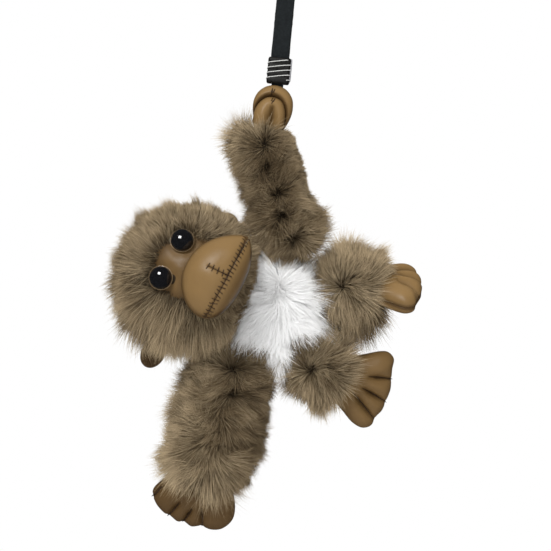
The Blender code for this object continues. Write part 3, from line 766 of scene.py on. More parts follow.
def eye_rim(name):
    s = bpy.context.scene.monkey_eye
    made, tree, shader = new_finish(name, roughness=0.25, coat_weight=0.6, coat_roughness=0.1)
    cloud = noise_of(tree, 400.0, 3.0)
    tint = mixed(tree, cloud, (*blended(s.rim, (0, 0, 0), 0.45), 1), (*s.rim, 1))
    tree.links.new(tint, shader.inputs["Base Color"])
    return made


def white_plastic(name):
    made, tree, shader = new_finish(name, roughness=0.4)
    cloud = noise_of(tree, 150.0, 3.0)
    tint = ramp(tree, cloud, [(0.3, (0.66, 0.66, 0.64)), (0.7, (0.78, 0.78, 0.76))])
    tree.links.new(tint, shader.inputs["Base Color"])
    bumped(tree, shader, cloud, 0.1, 0.0001)
    return made


FINISHES = {made.__name__: made for made in (
    brown_fur, white_fur, tan_leather, brown_thread, white_thread, black_webbing, black_leather,
    grey_edge, steel, black_gloss, eye_rim, white_plastic)}


# Fur ------------------------------------------------------------------------------------------

VOXEL = 0.004
SWELL_CAP = 0.0016
SWELL_PRESSURE = 4.0
SWELL_STEPS = 20
# How the strands lie: how strongly they are combed away from a parting, how wide the parting is,
# the size of the swirls, and the least that any strand lies down.
COMB_AWAY = 0.62
PARTING_MM = 5.0
SWIRL_MM = 9.0
LEAST_LAY = 0.8
# The pile is trimmed by this share on the monkey's back, from and to these distances behind the
# strap.
BACK_TRIM, BACK_FROM_MM, BACK_TO_MM = 0.30, 4, 26


def stuffed_skin(name, node, fuller=1.4 * MM):
    """The cloth under a piece's pile: its filling's shape made this much fuller, and settled by a
    cloth simulation."""
    mesh = frame["nodes"][node].data.copy()
    skin = link(bpy.data.objects.new(name, mesh))
    outwards(skin)
    remesh = skin.modifiers.new("Remesh", "REMESH")
    remesh.mode = "VOXEL"
    remesh.voxel_size = VOXEL
    applied(skin)
    skin.data.vertices.foreach_set(
        "co", (coordinates(skin.data) + fuller * normals(skin.data)).astype(np.float32).ravel())
    skin.data.update()
    swell(skin)
    smooth = skin.modifiers.new("Subdivision", "SUBSURF")
    smooth.levels = smooth.render_levels = 1
    applied(skin)
    skin.data.materials.clear()
    return skin


def swell(skin):
    """Presses the cloth outwards, as filling does, and caps how far any point moves. On pieces of
    this size it moves by less than 0.3 mm."""
    scene = bpy.context.scene
    rest = coordinates(skin.data)
    cloth = skin.modifiers.new("Cloth", "CLOTH")
    cloth.settings.use_pressure = True
    cloth.settings.uniform_pressure_force = SWELL_PRESSURE
    cloth.settings.effector_weights.gravity = 0.0
    cloth.point_cache.frame_start = 1
    cloth.point_cache.frame_end = SWELL_STEPS
    for number in range(1, SWELL_STEPS + 1):
        scene.frame_set(number)
    applied(skin)
    moved = coordinates(skin.data) - rest
    reach = np.maximum(np.linalg.norm(moved, axis=1, keepdims=True), 1e-9)
    moved *= np.minimum(1.0, SWELL_CAP / reach)
    skin.data.vertices.foreach_set("co", (rest + moved).astype(np.float32).ravel())
    skin.data.update()
    scene.frame_set(1)


def nearest_on(line, points):
    """The nearest point of a line of points, for each point."""
    line = np.array(line, float)
    if len(line) == 1:
        return np.repeat(line, len(points), axis=0)
    best = np.full(len(points), np.inf)
    found = np.zeros_like(points)
    for a, b in zip(line, line[1:]):
        t = np.clip(((points - a) @ (b - a)) / ((b - a) @ (b - a)), 0, 1)
        at = a + t[:, None] * (b - a)
        gap = np.linalg.norm(points - at, axis=1)
        near = gap < best
        best[near], found[near] = gap[near], at[near]
    return found


def comb_fur(skin, place, parting, drift, dark, light, reach, painted_light_slope, extra=None, wild=1.15):
    """Writes a skin's comb, pile, cover and tone. The strands are combed away from the parting, a
    line in the piece's frame in millimetres, and drift on the way. Tone goes from dark on the
    parting, painted shade where the pile parts, to light at reach from it, and changes by slope for
    each metre in the frame, a painted gradient of light across the piece. Wild is how far the
    strands stray from that in swirls. Extra changes the state before it is stored."""
    points, rise = coordinates(skin.data), normals(skin.data)
    to_local = np.array(place.inverted())
    turn = np.array(place.to_3x3())
    local = (points @ to_local[:3, :3].T + to_local[:3, 3]) / MM
    out = rise @ turn
    away = local - nearest_on(parting, local)
    gap = np.linalg.norm(away, axis=1)
    away -= out * (away * out).sum(1, keepdims=True)
    away /= np.maximum(np.linalg.norm(away, axis=1, keepdims=True), PARTING_MM)
    lay = COMB_AWAY * away + np.array(drift)
    lay += wild * np.array([noise.noise_vector(Vector(p) / SWIRL_MM) for p in local])
    lay -= out * (lay * out).sum(1, keepdims=True)
    size = np.maximum(np.linalg.norm(lay, axis=1, keepdims=True), 1e-6)
    lay *= np.clip(size, LEAST_LAY, 1.0) / size
    # Painted shade along the parting, fading out by reach, and a painted gradient of light across
    # the piece.
    tone = dark + (light - dark) * smoothstep(0, reach, gap) + local @ np.array(painted_light_slope) * 0.001
    pile = 0.78 + 0.22 * smoothstep(0, 14, gap)
    cover = np.ones(len(points))
    state = {"local": local, "out": out, "lay": lay, "tone": tone, "pile": pile, "cover": cover,
             "points": points}
    if extra:
        extra(state)
    state["pile"] *= 1 - BACK_TRIM * smoothstep(BACK_FROM_MM, BACK_TO_MM, points[:, 1] / MM)
    lay = state["lay"] @ turn.T
    attribute(skin.data, "comb", lay, "FLOAT_VECTOR")
    attribute(skin.data, "pile", state["pile"])
    attribute(skin.data, "tone", state["tone"])
    attribute(skin.data, "cover", np.clip(state["cover"], 0, 1))


def backing_map(mesh):
    """Gives the skin's faces a small patch of the strands' map, with the colour of deep roots."""
    layer = mesh.uv_layers.new(name="OFBake")
    corner = [(0.30, 0.0), (0.315, 0.0), (0.315, 0.015), (0.30, 0.015)]
    flat = [0.0] * (2 * len(mesh.loops))
    for face in mesh.polygons:
        for i, loop in enumerate(face.loop_indices):
            flat[2 * loop], flat[2 * loop + 1] = corner[i % 4]
    layer.data.foreach_set("uv", flat)


def grow(skin, colour, body, nodes, fill=0.75, **values):
    s = bpy.context.scene.monkey_fur
    backing_map(skin.data)
    blade = bpy.data.objects.get("strand_blade") or strand_blade()
    amounts = {"Strand": blade, "Density": s.density, "Pile": s.pile, "Width": s.width,
               "Tuft": s.clump, "Gather": s.pull, "Seed": s.seed, "Material": finish(colour)}
    amounts.update(values)
    grown_from(skin, shared_tree(fur_tree, "fur"), amounts)
    for spare in ("root", "rise", "dice", "lean", "comb", "pile", "cover", "tone", "along",
                  "side"):
        found = skin.data.attributes.get(spare)
        if found:
            skin.data.attributes.remove(found)
    finished(skin, body, colour, *nodes)
    return skin


def clear_of(nodes, near, far):
    """Leaves the pile out where the skin is close to these CAD nodes."""
    tree = node_tree_of(nodes)

    def change(state):
        state["cover"] = state["cover"] * smoothstep(near, far, distances(state["points"], tree))
    return change


def several(*changes):
    """One change of a skin's state made of several."""
    def change(state):
        for one in changes:
            one(state)
    return change


# Leather --------------------------------------------------------------------------------------

def away_from_line(x, z, line):
    """Distance in the paw's plane from a line of two points, and how far along it that is."""
    (ax, az), (bx, bz) = line
    dx, dz = bx - ax, bz - az
    t = ((x - ax) * dx + (z - az) * dz) / (dx * dx + dz * dz)
    held = min(1.0, max(0.0, t))
    return math.hypot(x - ax - held * dx, z - az - held * dz), t


def pillow_half(outline, centre, depth, side, lines, power=0.8, rings=34, wrinkle=0.25):
    """One panel of a stuffed paw in millimetres: a crowned face over an outline, drawn in along the
    sewn lines, closed by a flat back. Returns points, faces and how much painted shade each point
    gets."""
    count = len(outline)
    rows, worn = [], []
    for k in range(rings + 1):
        swing = math.pi / 2 * k / rings
        s, c = math.sin(swing), math.cos(swing)
        row, marks = [], []
        for edge in (outline if k else outline[:1]):
            x = centre[0] + s * (edge[0] - centre[0])
            z = centre[1] + s * (edge[1] - centre[1])
            rise = depth * c ** power
            pinch = 0.0
            for line in lines:
                gap, t = away_from_line(x, z, line)
                ease = min(1.0, max(0.0, (t + 0.25) / 0.6))
                rise *= 1 - ease * (0.34 * math.exp(-(gap / 0.9) ** 2)
                                    + 0.34 * math.exp(-(gap / 3.0) ** 2))
                pinch = max(pinch, ease * math.exp(-(gap / 0.8) ** 2))
            seam = max(0.0, (s - 0.985) / 0.015)
            rise += wrinkle * c * noise.noise(Vector((x * 0.16, z * 0.16, depth)))
            pull = 1 - 0.02 * seam - 0.05 * pinch * s ** 6
            x = centre[0] + pull * (x - centre[0])
            z = centre[1] + pull * (z - centre[1])
            row.append((x, side * rise, z))
            # Painted shade: dark in the sewn lines, along the seam and towards the rim, where the
            # panel turns away.
            marks.append(min(1.0, 0.4 * pinch + 0.55 * seam ** 2 + 0.3 * max(0, s - 0.8) / 0.2))
        rows.append(row)
        worn += marks
    inner = [[(centre[0] + f * (x - centre[0]), -side * 0.05, centre[1] + f * (z - centre[1]))
              for x, _, z in rows[-1]] for f in (0.98, 0.5)]
    rows += inner + [[(centre[0], -side * 0.05, centre[1])]]
    # The flat back is painted in shade too.
    worn += [0.6] * (2 * count + 1)
    points, faces = rings_mesh(rows)
    return points, faces, worn


def leather_piece(name, points, faces, worn, place, body, nodes, fill=0.8, shade=0.0):
    """A stuffed leather panel. The shade argument paints shade evenly over all of it, and each
    point's mark adds painted shade in its folds and at its edges.
    """
    worn = [shade + (1 - shade) * w for w in worn]
    made = shaped(name, [Vector(p) * MM for p in points], faces, finish("tan_leather"), place)
    attribute(made.data, "worn", worn)
    outwards(made)
    finished(made, body, "tan_leather", *nodes)
    return made


def sewn_creases(name, lines, height, place, body, thick=0.42):
    """Dark tapered threads that lie in a paw's sewn lines: brown thread, made thickest in the
    middle so that it also paints the shade of each crease.
    """
    parts = []
    for (ax, az), (bx, bz) in lines:
        bend = Vector((-(bz - az), bx - ax)).normalized() * 0.5
        path, radii = [], []
        for i in range(15):
            t = i / 14
            arch = math.sin(math.pi * t)
            x = ax + (bx - ax) * t + bend.x * arch
            z = az + (bz - az) * t + bend.y * arch
            path.append(Vector((x, height(x, z), z)) * MM)
            radii.append(max(0.08, thick * math.sin(math.pi * min(1, 0.08 + 0.84 * t)) ** 0.7) * MM)
        parts.append(rings_mesh(tube_rows(path, radii, 6)))
    points, faces = joined(parts)
    made = outwards(shaped(name, points, faces, finish("brown_thread"), place))
    return finished(made, body, "brown_thread")


def surface_reader(points, faces, side):
    """Gives the height of a panel over a point of its plane."""
    tree = BVHTree.FromPolygons([Vector(p) for p in points], faces)

    def height(x, z):
        hit = tree.ray_cast(Vector((x, side * 60, z)), Vector((0, -side, 0)))
        return hit[0].y if hit[0] else 0.0
    return height


def paw(names, place, outline, centre, depths, lines, body, nodes, shade):
    """Two panels and the creases of one paw, with shade painted evenly over both panels by the
    shade argument.
    """
    front, back, creases = names
    loop = loop_path([Vector((x, 0, z)) for x, z in outline], 9)
    edge = [(p.x, p.z) for p in loop]
    for name, side, depth, taken in ((front, -1, depths[0], nodes[:1] + nodes[2:]),
                                     (back, 1, depths[1], nodes[1:2])):
        sewn = lines if side < 0 else []
        points, faces, worn = pillow_half(edge, centre, depth, side, sewn)
        leather_piece(name, points, faces, worn, place, body, taken, shade=shade)
        if side < 0:
            height = surface_reader(points, faces, -1)
            sewn_creases(creases, lines, lambda x, z: height(x, z) - 0.16, place, body)


# Operators ------------------------------------------------------------------------------------

class MonkeyPieces(bpy.types.Operator):
    """What the operators share."""
    bl_options = {"REGISTER", "UNDO"}

    @classmethod
    def poll(cls, context):
        return context.mode == "OBJECT"

    def execute(self, context):
        self.build(context.scene)
        return {"FINISHED"}


class MONKEY_OT_stage(MonkeyPieces):
    """Lays the floor, hangs the lights and sets the camera"""
    bl_idname = "monkey.stage"
    bl_label = "Stage"

    def build(self, scene):
        s = scene.monkey_stage
        sides, radius = 64, 1.6
        steps = [2 * math.pi * i / sides for i in range(sides)]
        ring = [(radius * math.cos(a), radius * math.sin(a), -s.floor) for a in steps]
        made, tree, shader = new_finish("pale_floor", roughness=0.9)
        cloud = noise_of(tree, 3.0, 2.0)
        tree.links.new(ramp(tree, cloud, [(0.3, 0.90), (0.7, 0.93)]), shader.inputs["Base Color"])
        floor = shaped("floor", ring, [list(range(sides))], made)
        floor.visible_glossy = False
        up, right = Vector((-0.0958, 0, 0.9954)), Vector((0.9954, 0, 0.0958))
        aim = joint_place("hand_swing") - 1.08 * MM * right - 102.87 * MM * up
        data = bpy.data.cameras.new("camera")
        data.lens, data.sensor_width = s.lens, 36.0
        camera = link(bpy.data.objects.new("camera", data))
        camera.matrix_world = matrix_of(right, up, aim - Vector((0, s.distance, 0)))
        scene.camera = camera
        for name, at, size, power in (("key", (-0.40, -0.85, 0.45), 0.3, s.key),
                                      ("fill", (0.3, -1.0, -0.1), 0.9, s.fill),
                                      ("top", (0.0, 0.3, 1.0), 1.4, s.top)):
            lamp = bpy.data.lights.new(name, "AREA")
            lamp.energy, lamp.size = power, size
            light = link(bpy.data.objects.new(name, lamp))
            light.location = at
            look = aim - Vector(at)
            light.rotation_euler = look.to_track_quat("-Z", "Y").to_euler()
            light.visible_glossy = name == "key"
        world = bpy.data.worlds.new("studio")
        scene.world = world
        world.use_nodes = True
        tree = world.node_tree
        tree.nodes.clear()
        # The walls light the monkey softly, hardly show in its eyes, and are white to the camera.
        rays = add(tree, "ShaderNodeLightPath").outputs
        walls = [add(tree, "ShaderNodeBackground", {"Color": (1, 1, 1, 1), "Strength": power})
                 for power in (s.sky, 0.03, 1.0)]
        dim, dark, plain = (wall.outputs[0] for wall in walls)
        both = add(tree, "ShaderNodeMixShader", {0: rays["Is Glossy Ray"], 1: dim, 2: dark})
        both = add(tree, "ShaderNodeMixShader",
                   {0: rays["Is Camera Ray"], 1: both.outputs[0], 2: plain})
        out = add(tree, "ShaderNodeOutputWorld")
        tree.links.new(both.outputs[0], out.inputs[0])
        scene.view_settings.view_transform = "Standard"


class MONKEY_OT_strap(MonkeyPieces):
    """Bends the ring and weaves the strap that runs from it into the hand"""
    bl_idname = "monkey.strap"
    bl_label = "Strap and ring"

    def build(self, scene):
        s = scene.monkey_strap
        lo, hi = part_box("hang_ring")
        half, wire = (hi.x - lo.x - s.wire) / 2, s.wire
        bar = lo.z + wire / 2
        arch = hi.z - wire / 2 - half
        corner = 1.6 * MM
        outline = []
        for i in range(13):
            a = math.pi / 2 * i / 12
            outline.append(Vector((half - corner + corner * math.sin(a), 0,
                                   bar + corner - corner * math.cos(a))))
        for i in range(41):
            a = math.pi * i / 40
            outline.append(Vector((half * math.cos(a), 0, arch + half * math.sin(a))))
        outline += [Vector((-p.x, 0, p.z)) for p in reversed(outline[:13])]
        for i in range(1, 12):
            outline.append(Vector((-half + corner + (2 * half - 2 * corner) * i / 12, 0, bar)))
        points, faces = rings_mesh(tube_rows(outline, wire / 2, 20, closed=True))
        finished(outwards(shaped("wire_d_ring", points, faces, finish("steel"))), "ring", "steel",
                 "hang_ring")

        loop = wire / 2 + 0.3 * MM + s.thick / 2
        layer = s.thick + 0.35 * MM
        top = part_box("strap_webbing")[1].z - s.thick / 2 - loop
        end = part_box("strap_tongue")[0].z
        tail = top - loop - 2 * s.thick - 10 * MM
        lean = math.tan(FIST_LEAN)
        hand = joint_place("hand_swing").z
        path = [(0, end), (0, hand - 6 * MM), (0, hand), (0, hand + 4 * MM)]
        path += [(0, tail - 14 * MM), (0, tail + 2 * MM), (0, top - 3.2 * loop)]
        path += [(-loop * math.cos(math.pi * i / 10), top + loop * math.sin(math.pi * i / 10))
                 for i in range(11)]
        path += [(layer, top - 3.2 * loop), (layer, tail)]
        line = smooth_path([Vector((0, y, z)) for y, z in path], 14)
        rows, run = [], 0.0
        for i, at in enumerate(line):
            ahead = (line[min(i + 1, len(line) - 1)] - line[max(i - 1, 0)]).normalized()
            out = Vector((0, -ahead.z, ahead.y))
            run += (at - line[i - 1]).length if i else 0.0
            ripple = 1 + 0.012 * math.sin(run / (0.55 * MM) * math.pi)
            held = 1 - 0.35 * float(smoothstep(hand + 4 * MM, hand, at.z))
            rows.append(strap_section(at, out, s.width * ripple * held, s.thick, run))
        points, faces, uvs = strap_mesh(rows)
        for p in points:
            if p.z < hand:
                p.x -= lean * (hand - p.z)
        made = shaped("strap_web", points, faces, finish("black_webbing"))
        layer_of = made.data.uv_layers.new(name="Weave")
        for face in made.data.polygons:
            for loop_index, vertex in zip(face.loop_indices, face.vertices):
                layer_of.data[loop_index].uv = uvs[vertex]
        work = bmesh.new()
        work.from_mesh(made.data)
        bmesh.ops.recalc_face_normals(work, faces=work.faces)
        work.to_mesh(made.data)
        work.free()
        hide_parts("strap_webbing", "strap_tongue")
        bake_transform(made)
        self.tack(scene, layer, tail)

    def tack(self, scene, layer, tail):
        """A dense zigzag of white thread that holds the strap's tail."""
        s = scene.monkey_strap
        path = []
        for i in range(33):
            x = (-3.6 + 7.2 * (i % 2)) * MM
            path.append(Vector((x, layer + s.thick / 2 + 0.12 * MM, tail + (1.2 + 0.16 * i) * MM)))
        path = [a.lerp(b, t / 3) for a, b in zip(path, path[1:]) for t in range(3)]
        points, faces = rings_mesh(tube_rows(path, 0.16 * MM, 5))
        made = outwards(shaped("tail_bartack", points, faces, finish("white_thread")))
        finished(made, "strap", "white_thread", "strap_bartack")


def strap_section(at, out, width, thick, run):
    """A flat band's cross section with round edges, and its place on the weave's map."""
    radius = thick / 2
    half = width / 2 - radius
    row = []
    for side in (1, -1):
        for i in range(8):
            x = side * half * (1 - i / 3.5)
            row.append((Vector((x, 0, 0)) + at + out * radius * side,
                        (x * side + side * 0.02, run)))
        for i in range(1, 5):
            a = math.pi * i / 5
            edge = Vector((-side * (half + radius * math.sin(a)), 0, 0))
            row.append((edge + at + out * radius * side * math.cos(a),
                        (side * 0.02 - half - radius * a, run)))
    return row


def strap_mesh(rows):
    """Points, faces and map of a band with closed ends."""
    count = len(rows[0])
    points = [p for row in rows for p, _ in row]
    uvs = [uv for row in rows for _, uv in row]
    faces = []
    for k in range(len(rows) - 1):
        for i in range(count):
            j = (i + 1) % count
            faces.append([k * count + i, k * count + j, (k + 1) * count + j, (k + 1) * count + i])
    faces.append(list(range(count)))
    faces.append([(len(rows) - 1) * count + i for i in reversed(range(count))])
    return points, faces, uvs


class MONKEY_OT_keeper(MonkeyPieces):
    """Sews the leather sleeve that sits on the strap over the hand, with its bound thread"""
    bl_idname = "monkey.keeper"
    bl_label = "Strap sleeve"

    def build(self, scene):
        lo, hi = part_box("strap_keeper")
        half, mid = (hi - lo) / 2, (hi + lo) / 2
        half.x *= 0.88
        lo.z -= 0.7 * MM

        def outline(grow, corner, steps=6):
            ring = []
            for sx, sy, start in ((1, -1, -90), (1, 1, 0), (-1, 1, 90), (-1, -1, 180)):
                for i in range(steps + 1):
                    a = math.radians(start + 90 * i / steps)
                    ring.append(((half.x + grow - corner) * sx + corner * math.cos(a),
                                 (half.y + grow - corner) * sy + corner * math.sin(a)))
            return ring
        rows = []
        for i in range(41):
            t = i / 40
            bulge = 0.22 * MM * abs(math.sin(4 * math.pi * t)) ** 0.7 - 0.3 * MM * (
                smoothstep(0.06, 0, t) + smoothstep(0.94, 1, t))
            rows.append([(mid.x + x, mid.y + y, lo.z + 2 * half.z * t)
                         for x, y in outline(float(bulge), 1.5 * MM)])
        for t in (1, 0):
            rows.append([(mid.x + x, mid.y + y, lo.z + 2 * half.z * t)
                         for x, y in outline(-1.7 * MM, 0.35 * MM)])
        rows.append(rows[0])
        points, faces = rings_mesh(rows)
        made = outwards(shaped("strap_sleeve", points, faces, finish("black_leather")))
        finished(made, "strap", "black_leather", "strap_keeper")

        ring = [Vector((x, y, 0)) for x, y in outline(0.30 * MM, 1.8 * MM)]
        ring = even_loop(ring, 60)
        count, turns = len(ring), 4
        path = []
        for i in range(turns * count + 1):
            x, y, _ = ring[i % count]
            # Each turn climbs steeply over the front and falls back a little behind.
            t = i / count
            climb = 0.26 * math.sin(2 * math.pi * (t - 0.80)) + 0.26
            rise = (t + climb) / (turns + 0.65) * (2 * half.z - 1.4 * MM) + 0.7 * MM
            path.append(Vector((mid.x + x, mid.y + y, lo.z + rise)))
        path = smooth_path(path, 5)
        parts = []
        for ply in (0, 1):
            strand, across = [], None
            for i, at in enumerate(path):
                ahead = (path[min(i + 1, len(path) - 1)] - path[max(i - 1, 0)]).normalized()
                across = ahead.orthogonal() if across is None else (
                    across - ahead * across.dot(ahead))
                across.normalize()
                other = ahead.cross(across)
                a = i * 0.42 + math.pi * ply
                strand.append(at + 0.10 * MM * (math.cos(a) * across + math.sin(a) * other))
            parts.append(rings_mesh(tube_rows(strand, 0.15 * MM, 6)))
        points, faces = joined(parts)
        made = outwards(shaped("sleeve_binding", points, faces, finish("white_thread")))
        finished(made, "strap", "white_thread", "keeper_binding")

        side = half.x + 0.30 * MM
        lo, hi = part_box("keeper_edge")
        half, mid = (hi - lo) / 2, (hi + lo) / 2
        mid.x = side
        rows = []
        for i in range(25):
            t = -1 + 2 * i / 24
            slim = math.sqrt(max(0.0, 1 - abs(t) ** 12)) * (1 + 0.04 * math.sin(9 * t))
            turn = [2 * math.pi * k / 16 for k in range(16)]
            rows.append([(mid.x + half.x * slim * self.squarish(math.cos(a)),
                          mid.y + half.y * slim * self.squarish(math.sin(a)),
                          mid.z + half.z * t) for a in turn])
        rows[0], rows[-1] = [(mid.x, mid.y, lo.z)], [(mid.x, mid.y, hi.z)]
        points, faces = rings_mesh(rows)
        made = outwards(shaped("sleeve_edge", points, faces, finish("grey_edge")))
        finished(made, "strap", "grey_edge", "keeper_edge")

    @staticmethod
    def squarish(part):
        """Turns a circle's sine or cosine into a rounded square's."""
        return math.copysign(abs(part) ** 0.6, part)


class MONKEY_OT_gripping_hand(MonkeyPieces):
    """Shapes the left hand: a hood of fingers closed on a palm lobe, with their tacks"""
    bl_idname = "monkey.gripping_hand"
    bl_label = "Gripping hand"

    def build(self, scene):
        place = fist_frame()
        outline = [(0.0, 14.6), (5.2, 13.4), (9.2, 9.6), (10.8, 4.6), (10.6, -0.8), (8.8, -6.6),
                   (6.0, -12.0), (0, -14.6), (-6.0, -12.0), (-8.8, -6.4), (-10.6, -0.6),
                   (-11.0, 4.6), (-9.3, 9.6), (-5.2, 13.4)]
        loop = [(p.x, p.z) for p in loop_path([Vector((x, 0, z)) for x, z in outline], 9)]

        def lobe_share(x, z):
            return math.hypot((x + 0.9) / 8.8, (z + 3.4) / 11.6)
        fingers = []
        for side, depth in ((-1, 8.4), (1, 7.6)):
            points, faces, worn = pillow_half(loop, (0, 0), depth, side, [], power=0.75,
                                              wrinkle=0.3)
            if side < 0:
                points, worn = list(points), list(worn)
                for i, (x, y, z) in enumerate(points):
                    if y > 0:
                        continue
                    near = lobe_share(x, z)
                    press = 1 - float(smoothstep(0.88, 1.22, near))
                    points[i] = (x, y + press * max(0.0, -y - 2.6), z)
                    # The hood is painted in shade round the palm lobe, in the gap between them.
                    worn[i] = max(worn[i], 0.9 * float(smoothstep(1.30, 1.0, near)))
            fingers.append((points, faces, worn))
        for name, data, nodes in (("left_hand_hood", fingers[0], ("left_hand_fingers",)),
                                  ("left_hand_back", fingers[1], ("left_hand_stuffing",))):
            leather_piece(name, *data, place, "left_arm", nodes)
        lobe = [(-0.4, 7.8), (4.2, 6.4), (6.8, 2.1), (7.7, -3.4), (7.4, -9.0), (4.8, -13.6),
                (0, -14.6), (-4.8, -13.6), (-8.4, -9.0), (-9.6, -3.6), (-8.4, 2.2), (-5.0, 6.5)]
        loop = [(p.x, p.z) for p in loop_path([Vector((x, 0, z)) for x, z in lobe], 9)]
        valley = [((-0.2, 2.0), (1.4, -13.6)), ((-0.2, 1.0), (1.2, -13.6))]
        points, faces, worn = pillow_half(loop, (0, -3), 8.6, -1, valley, power=0.7, wrinkle=0.3)
        # The palm lobe gets about half as much painted shade.
        worn = [w * 0.55 for w in worn]
        points = [(x, y - 1.8, z) for x, y, z in points]
        leather_piece("left_hand_palm_lobe", points, faces, worn, place, "left_arm",
                      ("left_hand_palm",))
        height = surface_reader(points, faces, -1)
        hood = surface_reader(fingers[0][0], fingers[0][1], -1)
        parts = []
        for x, z, reach, over in ((-2.2, 11.2, 1.2, hood), (-1.0, 11.0, 1.1, hood),
                                  (-2.0, 9.6, 1.3, hood), (-1.2, 6.0, 1.0, height),
                                  (0.0, 5.9, 1.0, height), (-0.7, 4.6, 0.9, height)):
            path = []
            for i in range(7):
                t = -1 + i / 3
                at = z + reach * t
                lift = 0.34 * (1 - t * t) - 0.1 * t * t
                path.append(Vector((x + 0.25 * t, over(x, at) - lift, at)) * MM)
            parts.append(rings_mesh(tube_rows(path, 0.26 * MM, 6)))
        points, faces = joined(parts)
        made = outwards(shaped("left_hand_tacks", points, faces, finish("brown_thread"), place))
        finished(made, "left_arm", "brown_thread")


class MONKEY_OT_left_arm(MonkeyPieces):
    """Grows the fur of the arm that carries the monkey"""
    bl_idname = "monkey.left_arm"
    bl_label = "Left arm"

    def build(self, scene):
        place = limb_frame("left_shoulder", -1)
        skin = stuffed_skin("left_arm_plush", "left_arm_stuffing")
        parting = [(1, -20, -60), (1.5, -20, -42), (2.7, -20, -23), (5, -20, -8), (5, -20, 12)]

        def shape(state):
            x, _, z = state["local"].T
            wrist = smoothstep(-40, -56, z)
            upper = smoothstep(-12, -28, z)
            side = smoothstep(-1, -13, x)
            state["pile"] += side * 0.10 * smoothstep(-8, 6, z)
            state["pile"] -= side * 0.75 * smoothstep(0, -18, z)
            state["pile"] += wrist * (0.16 * smoothstep(4, 12, x) - 0.1)
            state["pile"] -= 0.22 * smoothstep(3, 12, x) * (1 - wrist)
            state["tone"] += 0.14 * wrist - 0.1 * upper * (1 - wrist) * smoothstep(14, 2, x)
            inner = (wrist * smoothstep(2, 10, x))[:, None]
            state["lay"] = state["lay"] - inner * np.array((0, 0, 0.7))
        extra = several(shape, clear_of(("left_hand_fingers", "left_hand_palm"), 3.0 * MM,
                                        5.5 * MM))
        # The parting is painted in shade, and the slope paints a slight gradient of light across
        # the arm.
        comb_fur(skin, place, parting, (0.1, 0, 0.05), 0.30, 0.60, 15, (-1, 0, 0), extra)
        grow(skin, "brown_fur", "left_arm", ("left_arm_fur", "left_arm_stuffing"))


HAND_OUTLINE = [(-24.5, -1.0), (-26.2, -6.2), (-22.8, -11.6), (-17.0, -15.6), (-12.6, -16.6),
                (-8.6, -18.2), (-4.6, -17.6), (-0.4, -18.8), (4.6, -17.2), (10.4, -17.6),
                (16.2, -15.4), (20.2, -9.6), (20.0, -2.8), (16.0, 6.0), (10.4, 12.0), (2.0, 15.2),
                (-8.0, 13.8), (-17.0, 8.0)]
HAND_LINES = [((-10.0, -7.2), (-14.6, -16.8)), ((-2.7, -9.0), (-5.8, -17.6)),
              ((2.3, -7.4), (5.0, -17.2)), ((-21.4, -1.4), (-25.6, -8.8))]


class MONKEY_OT_right_arm(MonkeyPieces):
    """Grows the fur of the hanging arm and shapes its hand"""
    bl_idname = "monkey.right_arm"
    bl_label = "Right arm"

    def build(self, scene):
        limb = limb_frame("right_shoulder")
        place = paw_frame(limb, 62)
        # The hanging hand is painted in shade all over, three quarters of the way to the shaded
        # tan.
        paw(("right_hand_upper_panel", "right_hand_lower_panel", "right_hand_finger_lines"),
            place, HAND_OUTLINE, (0, 0), (9.0, 7.6), HAND_LINES, "right_arm",
            ("right_hand_back", "right_hand_palm", "right_hand_stuffing"), 0.74)
        skin = stuffed_skin("right_arm_plush", "right_arm_stuffing")
        parting = [(4, -22, 24), (0, -22, 9), (3, -22, -1), (-2, -22, -12), (1.5, -22, -22),
                   (-3.5, -22, -37)]

        def shape(state):
            x, _, z = state["local"].T
            front = smoothstep(17, 8, np.abs(x))
            state["pile"] += 0.55 * smoothstep(-34, -48, z) * front - 0.36 * smoothstep(3, 15, x)
            state["pile"] -= 0.40 * smoothstep(14, 26, z)
            state["tone"] += 0.10 * smoothstep(-30, -44, z) - 0.20 * smoothstep(2, 12, x)
        extra = several(shape, clear_of(("right_hand_back", "right_hand_palm"), 0.3 * MM,
                                        1.2 * MM))
        # The parting is painted in shade, and the slope paints the arm darker towards +X as painted
        # light.
        comb_fur(skin, limb, parting, (0, 0, -0.25), 0.34, 0.62, 14, (-6, 0, 0), extra)
        grow(skin, "brown_fur", "right_arm", ("right_arm_fur", "right_arm_stuffing"))


FOOT_OUTLINE = [(0, 18.0), (7.6, 16.0), (12.4, 11.0), (16.8, 3.6), (21.2, -3.4), (22.6, -8.2),
                (20.2, -12.2), (14.6, -13.4), (8.2, -15.4), (3.4, -16.6), (-2.6, -16.6),
                (-8.4, -16.4), (-13.0, -14.6), (-18.4, -13.8), (-21.4, -9.6), (-20.6, -3.4),
                (-16.8, 3.6), (-12.4, 11.0), (-7.6, 16.0)]
FOOT_LINES = [((6.1, -2.6), (9.4, -15.4)), ((-0.9, -1.6), (-3.6, -17.0)),
              ((-4.8, 2.8), (-14.4, -13.8))]


